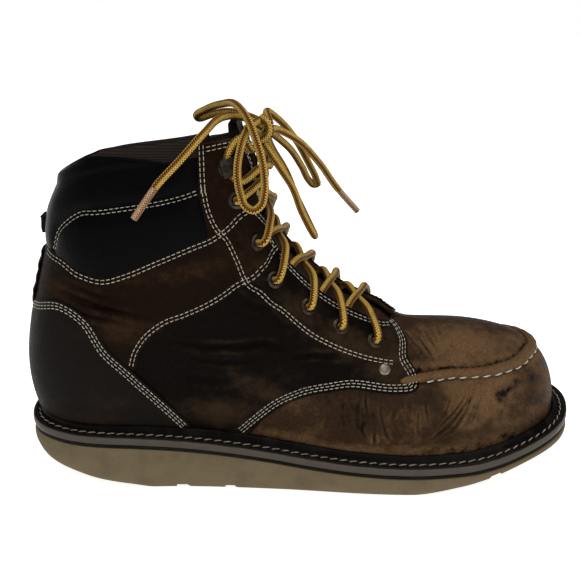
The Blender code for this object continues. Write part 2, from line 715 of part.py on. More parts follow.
def tongue_row(u, depth):
    """Seven points across the tongue at station u, left to right."""
    low = 0.80 if u < 7.4 else 0.86
    row = []
    for station, sign in ((u, 1), (LOOP - u, -1)):
        side = []
        for share in (low, 0.92):
            point, normal = on_facets(station, share)
            side.append(point - normal * depth)
        edge, normal = on_facets(station, 1.0)
        side.append(edge - normal * (depth + 0.5 * TONGUE_SINK) + np.array([0, sign * 3 * MM, 0]))
        row.append(side)
    left = row[0]
    right = row[1]
    middle = (left[2] + right[2]) / 2
    if half_station(u) >= CLOSED_FROM:
        edge, normal = on_facets(u, 1.0)
        middle = edge - normal * depth
        span = (left[1] - right[1]) / 2
        left[2] = middle + span * 0.5 - np.array([0, 0, 0.4 * MM])
        right[2] = middle - span * 0.5 - np.array([0, 0, 0.4 * MM])
    return np.array(left + [middle] + right[::-1])


def build_tongue():
    """The tongue: its upper face follows the throat under the wall, with one thickness."""
    top = tongue_sections()
    count, across = top.shape[:2]
    along = np.gradient(top, axis=0)
    side = np.gradient(top, axis=1)
    normal = np.cross(along, side)
    normal /= np.linalg.norm(normal, axis=-1, keepdims=True)
    middle = normal[count // 2, across // 2]
    if middle[2] < 0:
        normal = -normal
    under = top - normal * TONGUE_THICK
    points = []
    for r in range(count):
        points.extend(top[r])
        points.extend(under[r][::-1])
    return add_solid("tongue", points, strip_faces(count, 2 * across), TONGUE_LEATHER)


# Panels laid on the upper

def joined(*lines):
    """One closed border from lines that meet end to end."""
    border = []
    for line in lines:
        for place in line:
            if not border or math.dist(border[-1], place) > 1e-6:
                border.append((float(place[0]), float(place[1])))
    if math.dist(border[0], border[-1]) < 1e-6:
        border.pop()
    return border


def mirrored(line):
    """The same line on the other side of the heel's middle, run the other way."""
    return [(-u, v) for u, v in reversed(line)]


def level_line(start, end, v, step=0.5):
    """Points along one level between two stations."""
    count = max(1, int(round(abs(end - start) / step)))
    return [(start + (end - start) * k / count, v) for k in range(count + 1)]


def drawn_in(border, inset):
    """The closed border, run counter-clockwise and drawn in by a true distance on the leather."""
    border = np.asarray(border, float)
    area = 0.5 * np.sum(border[:, 0] * np.roll(border[:, 1], -1) - np.roll(border[:, 0], -1) * border[:, 1])
    if area < 0:
        border = border[::-1]
    result = []
    for k, (u, v) in enumerate(border):
        before = border[k - 1]
        after = border[(k + 1) % len(border)]
        v_in = min(max(v, 0.01), 0.99)
        su = (base_surface(u + 0.005, v_in) - base_surface(u - 0.005, v_in)) / 0.01
        sv = (base_surface(u, v_in + 0.005) - base_surface(u, v_in - 0.005)) / 0.01
        metric = np.array([[su @ su, su @ sv], [su @ sv, sv @ sv]])
        moves = []
        for along in ((u, v) - before, after - (u, v)):
            move = np.linalg.solve(metric, np.array([-along[1], along[0]]))
            moves.append(move / math.sqrt(move @ metric @ move))
        cosine = moves[0] @ metric @ moves[1]
        move = (moves[0] + moves[1]) / max(1 + cosine, 0.5)
        result.append((u + inset * move[0], v + inset * move[1]))
    return result


def panel(name, border, base, thick, finish):
    """A panel on the upper's own facets inside a closed border, with one thickness."""
    border = drawn_in(border, 0.5 * GAP + 0.05 * MM)
    stations = [u for u, _ in border]
    first = int(math.floor(min(stations) * CELLS_PER_STATION)) - 1
    last = int(math.ceil(max(stations) * CELLS_PER_STATION)) + 1
    places = []
    edges = []
    for i in range(first, last + 1):
        for j in range(LEVEL_COUNT):
            here = len(places)
            places.append(Vector((i / CELLS_PER_STATION, LEVELS[i % COLUMN_COUNT, j])))
            if j + 1 < LEVEL_COUNT:
                edges.append((here, here + 1))
            if i < last:
                edges.append((here, here + LEVEL_COUNT))
            if i < last and j + 1 < LEVEL_COUNT:
                edges.append((here, here + LEVEL_COUNT + 1))
    start = len(places)
    places.extend(Vector(place) for place in border)
    loop = list(range(start, len(places)))
    verts, _, faces, _, _, owners = delaunay_2d_cdt(places, edges, [loop], 0, 1e-7, True)
    inside = [tuple(face) for face, owner in zip(faces, owners) if owner]
    used = sorted({k for face in inside for k in face})
    number = {k: n for n, k in enumerate(used)}
    low = []
    high = []
    for k in used:
        u, v = verts[k]
        low.append(on_facets(u, v, base)[0])
        high.append(on_facets(u, v, base + thick)[0])
    count = len(used)
    solid = []
    sides = {}
    for face in inside:
        a, b, c = (number[k] for k in face)
        solid.append((a + count, b + count, c + count))
        solid.append((a, c, b))
        for edge in ((a, b), (b, c), (c, a)):
            sides[edge] = sides.get(edge, 0) + 1
    for a, b in sides:
        if (b, a) not in sides:
            solid.append((a, b, b + count, a + count))
    return add_solid(name, low + high, solid, finish)


def other_side(border):
    """A lateral border carried over to the medial side."""
    return [(LOOP - u, v) for u, v in reversed(border)]


def build_panels():
    """Counter, ankle panel, saddle panels, facings and the back strap."""
    upper_edge, lower_edge = COUNTER_EDGE[:COUNTER_MEET + 1], COUNTER_EDGE[COUNTER_MEET:]
    end = COUNTER_EDGE[-1][0]
    counter = joined(COUNTER_EDGE, level_line(end, -end, PANEL_FOOT), mirrored(COUNTER_EDGE))
    panel("counter", counter, GAP, COUNTER_THICK, DARK_LEATHER)
    ankle = ankle_border(upper_edge)
    panel("ankle_panel", ankle, GAP, ANKLE_THICK, PANEL_LEATHER)
    saddle = joined(lower_edge, level_line(lower_edge[-1][0], SADDLE_FRONT[0][0], PANEL_FOOT, 0.3),
                    SADDLE_FRONT, level_line(SADDLE_FRONT[-1][0], SADDLE_TOP[-1][0], 1.0, 0.35),
                    SADDLE_TOP[::-1])
    panel("saddle_lateral", saddle, GAP, SADDLE_THICK, DARK_LEATHER)
    panel("saddle_medial", other_side(saddle), GAP, SADDLE_THICK, DARK_LEATHER)
    facing = joined(FACING_BACK, FACING_FOOT,
                    level_line(FACING_FOOT[-1][0], FACING_BACK[0][0], 1.0, 0.35))
    panel("facing_lateral", facing, GAP, FACING_THICK, PANEL_LEATHER)
    panel("facing_medial", other_side(facing), GAP, FACING_THICK, PANEL_LEATHER)
    strap = [(-0.5, 0.52), (0.5, 0.52), (0.42, 0.735), (-0.42, 0.735)]
    panel("back_strap", strap, 2 * GAP + ANKLE_THICK + 0.1 * MM, STRAP_THICK, DARK_LEATHER)


def ankle_border(counter_edge):
    """The ankle panel's border: over the collar's edge on both sides and back below."""
    side = joined(COLLAR_EDGE_LINE, FACING_FOOT, level_line(FACING_FOOT[-1][0], SADDLE_TOP[-1][0], 1.0),
                  SADDLE_TOP[::-1], counter_edge[::-1])
    return side + [(-u, v) for u, v in side[1:-1]][::-1]


def build_collar():
    """The padded roll round the top line: puffs outside, a turn over the edge, lining inside."""
    end = FACING_BACK[0][0] - COLLAR_BACKING
    inner = [k / CELLS_PER_STATION for k in range(-LOOP, LOOP) if abs(k / CELLS_PER_STATION) < end - 0.05]
    up = np.array([0.0, 0.0, 1.0])
    facing = FACING_BACK[::-1]
    points = []
    for u in [-end] + inner + [end]:

        def station(share, u=u):
            if abs(u) < end:
                return u
            reach = float(steady([p[1] for p in facing], [p[0] for p in facing], share)) - COLLAR_BACKING
            return math.copysign(reach, u)

        side = abs(station(0.71))
        low = float(steady([p[0] for p in COLLAR_EDGE_LINE], [p[1] for p in COLLAR_EDGE_LINE], side))
        low += 0.004
        valley = min(max((side - 0.9) / 0.5, 0.0), 1.0)
        split = 0.85
        shares = [low, (low + split) / 2, split, (split + 1) / 2, 1.0]
        puff = COLLAR_PUFF * (0.75 + 0.25 * min(side, 1.0))
        mid = puff * (1 - valley) + 1.5 * COLLAR_EDGE * valley
        thick = [COLLAR_EDGE, 0.95 * puff, mid, puff, 0.8 * puff]
        for v in shares:
            points.append(on_facets(station(v), v, COLLAR_FIT)[0])
        rim, normal = on_facets(u, 1.0)
        points.append(rim + normal * COLLAR_FIT + up * COLLAR_FIT)
        points.append(rim - normal * (WALL + COLLAR_FIT) + up * COLLAR_FIT)
        for v in (0.92, 0.84):
            points.append(on_facets(u, v, -WALL - COLLAR_FIT)[0])
        points.append(on_facets(u, 0.84, -WALL - COLLAR_FIT - 0.5 * COLLAR_INSIDE)[0])
        points.append(on_facets(u, 0.92, -WALL - COLLAR_FIT - COLLAR_INSIDE)[0])
        points.append(rim - normal * (WALL + COLLAR_FIT + 0.9 * COLLAR_INSIDE) + up * 0.8 * MM)
        points.append(rim - normal * 0.5 * WALL + up * (COLLAR_FIT + COLLAR_TOP))
        points.append(rim + normal * (COLLAR_FIT + 0.55 * puff) + up * 0.7 * COLLAR_TOP)
        for v, depth in zip(shares[::-1], thick[::-1]):
            points.append(on_facets(station(v), v, COLLAR_FIT + depth)[0])
    rows = len(points) // (len(inner) + 2)
    add_solid("collar", points, strip_faces(len(inner) + 2, rows), BLACK_LEATHER)


def build_pull_tab():
    """The small plain tab behind the collar."""
    reach = min(on_facets(0.0, v, COLLAR_FIT + 0.75 * COLLAR_PUFF)[0][0] for v in (0.80, 0.83, 0.86))
    foot = on_facets(0.0, 0.80)[0]
    back = reach - GAP
    points = []
    for z, thick in ((0.0, 1.2 * MM), (4 * MM, 1.8 * MM), (9 * MM, 1.2 * MM)):
        for x, y in ((back - thick, -1), (back, -1), (back, 1), (back - thick, 1)):
            points.append((x, y * 5 * MM, foot[2] + z))
    add_solid("pull_tab", points, strip_faces(3, 4), TAB_CLOTH)


# Hardware

def seat(u, v, raised):
    """Seat of a fitting: its middle, the way out, the way to the throat, the way along it."""
    point, out = on_facets(u, v, raised)
    toward = on_facets(u, min(v + 0.05, 1.0))[0] - on_facets(u, v - 0.05)[0]
    toward -= out * (toward @ out)
    toward /= np.linalg.norm(toward)
    return point, out, toward, np.cross(out, toward)


def turned(name, place, section, finish, segments):
    """A solid turned about a fitting's own axis from (radius, height) points."""
    middle, out, toward, along = place
    points = []
    for k in range(segments):
        angle = 2 * math.pi * k / segments
        way = toward * math.cos(angle) + along * math.sin(angle)
        for radius, height in section:
            points.append(middle + way * radius + out * height)
    full = section[0][0] > 0
    return add_solid(name, points, ring_faces(segments, len(section), full), finish, middle)


def build_eyelets():
    """Rings on both sides; the panel under each is the saddle, the ankle panel or the facing."""
    section = [(EYELET_HOLE, 0.0), (EYELET_HOLE + 0.6 * MM, EYELET_RISE),
               (EYELET_RADIUS, 0.5 * EYELET_RISE), (EYELET_RADIUS, 0.0)]
    for number, (u, v) in enumerate(EYELETS, 1):
        raised = GAP + SEAT + (SADDLE_THICK, ANKLE_THICK)[number > 4]
        turned(f"eyelet_lateral_{number}", seat(u, v, raised), section, ANTIQUE_METAL, 10)
        turned(f"eyelet_medial_{number}", seat(LOOP - u, v, raised), section, ANTIQUE_METAL, 10)


def build_rivets():
    """One low domed rivet at the front of each saddle panel."""
    section = [(0.0, 0.0), (RIVET_RADIUS, 0.0), (RIVET_RADIUS, 0.35 * MM), (0.6 * RIVET_RADIUS, 0.9 * MM),
               (0.0, 1.05 * MM)]
    raised = GAP + SEAT + SADDLE_THICK
    u, v = RIVET
    turned("rivet_lateral", seat(u, v, raised), section, ANTIQUE_METAL, 12)
    turned("rivet_medial", seat(LOOP - u, v, raised), section, ANTIQUE_METAL, 12)


def edge_station(place):
    """Station of the throat's edge nearest to a fitting."""
    spot = base_surface(*place)
    stations = np.linspace(CLOSED_FROM / 2, CLOSED_FROM - 0.4, 60)
    edge = base_surface(stations, np.ones_like(stations))
    return float(stations[np.argmin(np.linalg.norm(edge - spot, axis=1))])


def hook_seat(station):
    """Seat of a hook: its middle, the way out, the way to the throat's edge, the way up along it."""
    middle, out, _, _ = seat(station, HOOK[1], GAP + SEAT + FACING_THICK)
    near = edge_station(HOOK)
    toward = base_surface(near if station < TIP else LOOP - near, 1.0) - middle
    toward -= out * (toward @ out)
    toward /= np.linalg.norm(toward)
    up = np.cross(out, toward)
    return middle, out, toward, up if up[2] > 0 else -up


def build_hooks():
    """One open hook at the top of each facing, its bend to the throat."""
    inner = 0.5 * (LACE_WIDTH + 1.0 * MM)
    outer = inner + HOOK_PLATE
    half = 0.5 * HOOK_LENGTH
    bend = half - outer
    profile = [(-half, 0.0), (bend, 0.0)]
    turns = [math.radians(a) for a in (-60, -30, 0, 30, 60)]
    profile += [(bend + outer * math.cos(a), outer + outer * math.sin(a)) for a in turns]
    profile += [(bend, 2 * outer), (-0.7 * half, 2 * outer), (-0.7 * half, outer + inner)]
    profile += [(bend, outer + inner)]
    profile += [(bend + inner * math.cos(a), outer + inner * math.sin(a)) for a in turns[::-1]]
    profile += [(bend, outer - inner), (-half, outer - inner)]
    for name, u in (("hook_lateral", HOOK[0]), ("hook_medial", LOOP - HOOK[0])):
        middle, out, toward, up = hook_seat(u)
        points = []
        for side in (-0.5, 0.5):
            for across, height in profile:
                points.append(middle + toward * across + out * height + up * side * HOOK_WIDTH)
        add_solid(name, points, strip_faces(2, len(profile)), ANTIQUE_METAL, middle)


def hook_path(station, way):
    """Route of a lace from beside a hook to its middle; way is 1 from above, -1 from below."""
    middle, out, toward, up = hook_seat(station)
    inside = middle + out * (HOOK_PLATE + 0.5 * LACE_WIDTH + 0.5 * MM)
    beside = inside + up * way * (0.5 * HOOK_WIDTH + 2.6 * MM) + toward * 2.2 * MM + out * 0.4 * MM
    return np.array([beside, inside + up * way * 0.3 * HOOK_WIDTH, inside + up * way * 0.6 * MM])


# Lace

def tube(name, path, radius, finish, sides=6):
    """A closed solid tube along a path."""
    path = np.asarray(path, float)
    tangents = np.gradient(path, axis=0)
    tangents /= np.linalg.norm(tangents, axis=1, keepdims=True)
    across = np.cross(tangents[0], (0.3, 0.1, 1.0))
    points = []
    for point, tangent in zip(path, tangents):
        across = across - tangent * (across @ tangent)
        across = across / np.linalg.norm(across)
        other = np.cross(tangent, across)
        for k in range(sides):
            angle = 2 * math.pi * k / sides
            points.append(point + radius * (across * math.cos(angle) + other * math.sin(angle)))
    return add_solid(name, points, strip_faces(len(path), sides), finish)


def strand_route(number, start_side, lift):
    """Route of one lace strand: out of its eyelet, over the edge, across, to the far edge."""
    radius = 0.5 * LACE_WIDTH
    u, v = EYELETS[number - 1]
    panel_thick = (SADDLE_THICK, ANKLE_THICK)[number > 4]
    top = GAP + panel_thick + SEAT + EYELET_RISE
    last = number == len(EYELETS)
    here = edge_station((u, v))
    beyond = edge_station(HOOK if last else EYELETS[number])

    def side(station):
        return station if start_side < 0 else LOOP - station

    def far(station):
        return LOOP - station if start_side < 0 else station

    hole, out, _, _ = seat(side(u), v, top + 0.4 * MM)
    bend = hole + out * 1.3 * radius
    edge, edge_out = on_facets(side(0.70 * here + 0.30 * beyond), 1.0)
    edge = edge + edge_out * (GAP + panel_thick + radius + 1.0 * MM)
    if last:
        rim, rim_out = on_facets(far(0.30 * here + 0.70 * beyond), 1.0)
        rim = rim + rim_out * (GAP + FACING_THICK + radius + 1.6 * MM)
        middle = (edge + rim) / 2 + (edge_out + rim_out) * lift
        return np.array([hole, bend, edge, middle, rim, *hook_path(far(HOOK[0]), -1)])
    finish, finish_out = on_facets(far(0.1 * here + 0.9 * beyond), 1.0)
    way = np.array([0.0, -1.0 if finish[1] > 0 else 1.0, 0.0])
    finish = finish + way * (radius + 1.2 * MM) + finish_out * 0.6 * MM
    middle = (edge + finish) / 2 + (edge_out + finish_out) * lift
    return np.array([hole, bend, edge, middle, finish])


def build_crossings():
    """Six crossings, each two strands that meet over the middle of the tongue."""
    for number in range(1, len(EYELETS) + 1):
        low = tube(f"lace_crossing_{number}", smooth_path(strand_route(number, -1, 0.4 * MM), 7.5 * MM),
                   0.5 * LACE_WIDTH, LACE_CORD)
        high = tube("strand", smooth_path(strand_route(number, 1, 2.2 * MM), 7.5 * MM),
                    0.5 * LACE_WIDTH, LACE_CORD)
        cut(low, [high], "UNION")


def build_risers():
    """The strands from the hooks over the throat's edge up to the knot."""
    radius = 0.5 * LACE_WIDTH
    for name, route, station, edge in (
            ("lace_riser_lateral", RISER_LATERAL_ROUTE, HOOK[0], RISER_EDGE),
            ("lace_riser_medial", RISER_MEDIAL_ROUTE, LOOP - HOOK[0], LOOP - RISER_EDGE)):
        rim, rim_out = on_facets(edge, 1.0)
        rim = rim + rim_out * (GAP + FACING_THICK + radius + 0.8 * MM)
        path = np.concatenate([route_points(route), rim[None], hook_path(station, 1)])
        tube(name, smooth_path(path, 5.0 * MM), radius, LACE_CORD)


def route_points(route):
    """A route's points in the foot's frame."""
    return np.array([(p.along * LENGTH, p.side * BALL_WIDTH, p.height * SHAFT_HEIGHT) for p in route])


def add_cord(name, points, radius, finish):
    """A round cord as a bevelled curve through the points."""
    points = points - CENTRE
    origin = points[0]
    curve = bpy.data.curves.new(name, "CURVE")
    curve.dimensions = "3D"
    curve.bevel_depth = radius
    curve.bevel_resolution = 2
    curve.use_fill_caps = True
    spline = curve.splines.new("POLY")
    spline.points.add(len(points) - 1)
    for spot, point in zip(spline.points, points - origin):
        spot.co = (*point, 1.0)
    curve.materials.append(material(finish))
    made = bpy.data.objects.new(name, curve)
    made.location = origin
    bpy.context.scene.collection.objects.link(made)
    return made


def build_bow():
    """The knot, the bow's three loops and the two ends with their tips."""
    radius = 0.5 * LACE_WIDTH
    for name, route in (("lace_knot", KNOT_ROUTE), ("bow_loop_near", LOOP_NEAR_ROUTE),
                        ("bow_loop_far", LOOP_FAR_ROUTE), ("bow_loop_low", LOOP_LOW_ROUTE)):
        add_cord(name, smooth_path(route_points(route), 2.6 * LACE_WIDTH), radius, LACE_CORD)
    for side, route in (("near", END_NEAR_ROUTE), ("far", END_FAR_ROUTE)):
        path = smooth_path(route_points(route), 1.0 * MM)
        run = np.cumsum(np.linalg.norm(np.diff(path, axis=0), axis=1))
        split = int(np.searchsorted(run, run[-1] - TIP_LENGTH))
        cord = np.concatenate([path[:split - 2:3], path[split:split + 1]])
        add_cord(f"lace_end_{side}", smooth_path(cord, 2.6 * LACE_WIDTH), radius, LACE_CORD)
        step = path[split + 1] - path[split]
        start = path[split] + step / np.linalg.norm(step) * GAP
        tip = np.concatenate([start[None], path[split + 4::5]])
        add_cord(f"lace_tip_{side}", tip, 0.92 * radius, LACE_TIP)


def build_keeper():
    """The small loop on the tongue that keeps the lace in the middle."""
    depth = WALL + TONGUE_FIT
    middle = tongue_row(KEEPER_STATION, depth)[3]
    along = tongue_row(KEEPER_STATION - 0.15, depth)[3] - tongue_row(KEEPER_STATION + 0.15, depth)[3]
    along /= np.linalg.norm(along)
    across = np.array([0.0, 1.0, 0.0])
    out = np.cross(along, across)
    out *= 1.0 if out[2] > 0 else -1.0
    half = 0.5 * KEEPER_SPAN
    rise = KEEPER_RISE
    profile = [(-half - 2 * MM, 0.0), (-half, 0.0), (-0.8 * half, 0.8 * rise), (-0.4 * half, rise),
               (0.4 * half, rise), (0.8 * half, 0.8 * rise), (half, 0.0), (half + 2 * MM, 0.0)]
    outer = [(x, h + KEEPER_PLATE) for x, h in profile]
    loop = profile + outer[::-1]
    base = middle + out * (GAP + 0.7 * MM)
    points = []
    for side in (-0.5, 0.5):
        for x, h in loop:
            points.append(base + across * x + out * h + along * side * KEEPER_WIDTH)
    add_solid("tongue_keeper", points, strip_faces(2, len(loop)), DARK_LEATHER)


def clear_scene():
    """Start from nothing."""
    for old in list(bpy.data.objects):
        bpy.data.objects.remove(old)


def main():
    """Build every piece of the boot."""
    clear_scene()
    build_outsole()
    build_midsole()
    build_welt()
    build_insole()
    build_upper()
    build_tongue()
    build_panels()
    build_collar()
    build_pull_tab()
    build_eyelets()
    build_rivets()
    build_hooks()
    build_keeper()
    build_crossings()
    build_risers()
    build_bow()


main()
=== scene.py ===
"""Looks of a right-foot work boot with a wedge sole, moc toe and padded collar.

Metres, +Z up, toe at +X, lateral side at -Y. The form is one smooth surface told by
stations round the foot: a place on it is a station (0 heel back, 11 toe tip, counted
over the lateral side) and the share of the way up from the welt (0) to the top line (1).
"""
import logging
import math
from dataclasses import dataclass, field
from enum import Enum
from typing import Callable, Iterator, NamedTuple, Optional, Sequence

import bpy
import numpy as np
from mathutils import Matrix, Vector


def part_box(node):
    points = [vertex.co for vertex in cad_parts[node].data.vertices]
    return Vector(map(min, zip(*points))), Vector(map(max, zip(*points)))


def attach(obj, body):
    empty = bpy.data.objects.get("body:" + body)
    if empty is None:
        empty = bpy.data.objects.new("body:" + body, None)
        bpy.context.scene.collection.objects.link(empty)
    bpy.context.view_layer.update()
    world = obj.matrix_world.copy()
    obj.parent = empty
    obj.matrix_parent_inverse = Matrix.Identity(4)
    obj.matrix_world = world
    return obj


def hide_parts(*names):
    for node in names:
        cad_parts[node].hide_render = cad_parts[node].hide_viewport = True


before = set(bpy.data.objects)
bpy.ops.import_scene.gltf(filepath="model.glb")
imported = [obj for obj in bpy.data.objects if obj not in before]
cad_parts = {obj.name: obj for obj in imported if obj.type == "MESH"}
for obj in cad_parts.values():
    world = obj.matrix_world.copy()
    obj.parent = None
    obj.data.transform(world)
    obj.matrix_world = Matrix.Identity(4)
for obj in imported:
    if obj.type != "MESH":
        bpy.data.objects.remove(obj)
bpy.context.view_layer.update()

LOG = logging.getLogger("boot")
MM = 0.001
UP = np.array([0.0, 0.0, 1.0])
Array = np.ndarray
Place = tuple[float, float]
Route = Sequence[tuple[float, float, float]]


class Station(NamedTuple):
    """One station of the form: outline point, top line point, leans and reaches of its column."""

    name: str
    along: float
    lateral: float
    medial: float
    top_along: float
    top_lateral: float
    top_medial: float
    rim_lateral: float
    rim_medial: float
    lean_low: float
    reach_low: float
    lean_top: float
    reach_top: float


class Profile(NamedTuple):
    """Heights of the tread and of the welt's top at one share of the length."""

    along: float
    tread: float
    welt: float



class Crease(NamedTuple):
    """A fold of the leather: its places, depth and half width in millimetres."""

    places: Sequence[Place]
    depth: float
    width: float


class Spot(NamedTuple):
    """A patch of wear or dirt: its place, its size round and up in millimetres, and its strength."""

    station: float
    up: float
    size_round: float
    size_up: float
    strength: float


STATIONS = [
    Station("heel back", 0.000, 0.000, 0.000, 0.096, 0.000, 0.000, 0.883, 0.883, 20, 0.235, -10, 0.286),
    Station("heel corner", 0.029, 0.243, 0.243, 0.118, 0.187, 0.178, 0.903, 0.893, 20, 0.230, -9, 0.286),
    Station("heel side", 0.127, 0.383, 0.364, 0.191, 0.290, 0.262, 0.954, 0.918, 14, 0.214, -8, 0.286),
    Station("ankle", 0.255, 0.393, 0.355, 0.306, 0.299, 0.262, 0.974, 0.939, 9, 0.224, -8, 0.286),
    Station("collar corner", 0.376, 0.411, 0.346, 0.408, 0.252, 0.243, 0.997, 0.969, 6, 0.235, -12, 0.255),
    Station("instep", 0.503, 0.449, 0.383, 0.452, 0.220, 0.215, 0.735, 0.724, 5, 0.214, -24, 0.204),
    Station("ball back", 0.631, 0.495, 0.449, 0.548, 0.206, 0.206, 0.551, 0.546, 4, 0.184, -38, 0.153),
    Station("ball", 0.752, 0.509, 0.491, 0.643, 0.168, 0.168, 0.464, 0.464, 4, 0.168, -60, 0.138),
    Station("throat base", 0.834, 0.477, 0.491, 0.691, 0.000, 0.000, 0.439, 0.439, 3, 0.168, -80, 0.153),
    Station("toe side", 0.911, 0.374, 0.439, 0.768, 0.000, 0.000, 0.423, 0.423, 3, 0.168, -85, 0.184),
    Station("toe corner", 0.975, 0.206, 0.290, 0.822, 0.000, 0.000, 0.413, 0.413, 3, 0.138, -83, 0.173),
    Station("toe tip", 1.000, -0.056, 0.056, 0.854, 0.000, 0.000, 0.403, 0.403, 3, 0.122, -80, 0.143),
]
PROFILES = [
    Profile(0.000, 0.520, 1.000), Profile(0.041, 0.356, 1.000), Profile(0.092, 0.247, 0.986),
    Profile(0.137, 0.151, 0.978), Profile(0.191, 0.066, 0.959), Profile(0.240, 0.000, 0.925),
    Profile(0.350, 0.000, 0.836), Profile(0.427, 0.000, 0.753), Profile(0.525, 0.000, 0.625),
    Profile(0.605, 0.000, 0.556), Profile(0.690, 0.000, 0.529), Profile(0.780, 0.137, 0.564),
    Profile(0.834, 0.247, 0.614), Profile(0.901, 0.373, 0.707), Profile(0.955, 0.438, 0.795),
    Profile(1.000, 0.482, 0.863),
]
MOC_SEAM = [
    (0.00, 0.500, 0.0), (6.33, 0.490, 0.0), (7.08, 0.545, 1.0), (7.86, 0.510, 1.0),
    (8.60, 0.500, 1.0), (9.27, 0.520, 1.0), (10.08, 0.605, 1.0), (11.00, 0.660, 1.0),
]
TIP = len(STATIONS) - 1
LOOP = 2 * TIP
CLOSED_FROM = 8

COUNTER_EDGE = [(0.0, 0.500), (0.8, 0.530), (1.44, 0.540), (1.84, 0.484), (2.22, 0.353), (2.54, 0.268),
                (2.62, 0.245), (2.79, 0.198), (3.10, 0.109), (3.32, 0.042)]
COLLAR_LINE = [(0.0, 0.760), (0.7, 0.745), (1.33, 0.703), (1.72, 0.646), (2.14, 0.615),
               (2.43, 0.629), (2.83, 0.663), (3.25, 0.691), (3.62, 0.705)]
FACING_BACK = [(3.62, 0.705), (3.43, 0.850), (3.41, 0.910), (3.40, 1.000)]
FACING_FOOT = [(3.62, 0.705), (4.10, 0.760), (4.50, 0.870), (4.89, 1.0)]
SADDLE_TOP = [(2.62, 0.245), (2.58, 0.300), (2.61, 0.348), (2.71, 0.403), (2.98, 0.461), (3.28, 0.482),
              (3.76, 0.518), (4.26, 0.584), (4.75, 0.769), (5.18, 1.0)]
SADDLE_FRONT = [(4.12, 0.042), (4.40, 0.126), (4.71, 0.215), (5.03, 0.291), (5.51, 0.382), (5.99, 0.459),
                (6.64, 0.480), (6.93, 0.500), (7.05, 0.560), (7.11, 0.692), (7.42, 0.830), (7.43, 0.928),
                (7.30, 1.0)]
COLLAR_VALLEY = [(1.05, 0.749), (1.15, 0.807), (1.40, 0.838), (1.68, 0.850), (1.92, 0.842),
                 (2.38, 0.841), (2.79, 0.847), (3.22, 0.857), (3.42, 0.862)]
STAY_STITCH = [(3.42, 0.875), (3.50, 0.800), (3.66, 0.730), (3.83, 0.693), (4.04, 0.631), (4.26, 0.580),
               (4.67, 0.630), (5.18, 0.696), (5.61, 0.676), (6.03, 0.672), (6.45, 0.666), (6.86, 0.662)]
EYELETS = [(6.73, 0.813), (6.18, 0.836), (5.67, 0.845), (5.09, 0.820), (4.57, 0.790), (4.02, 0.806)]
HOOK = (3.82, 0.912)
RIVET = (6.62, 0.604)

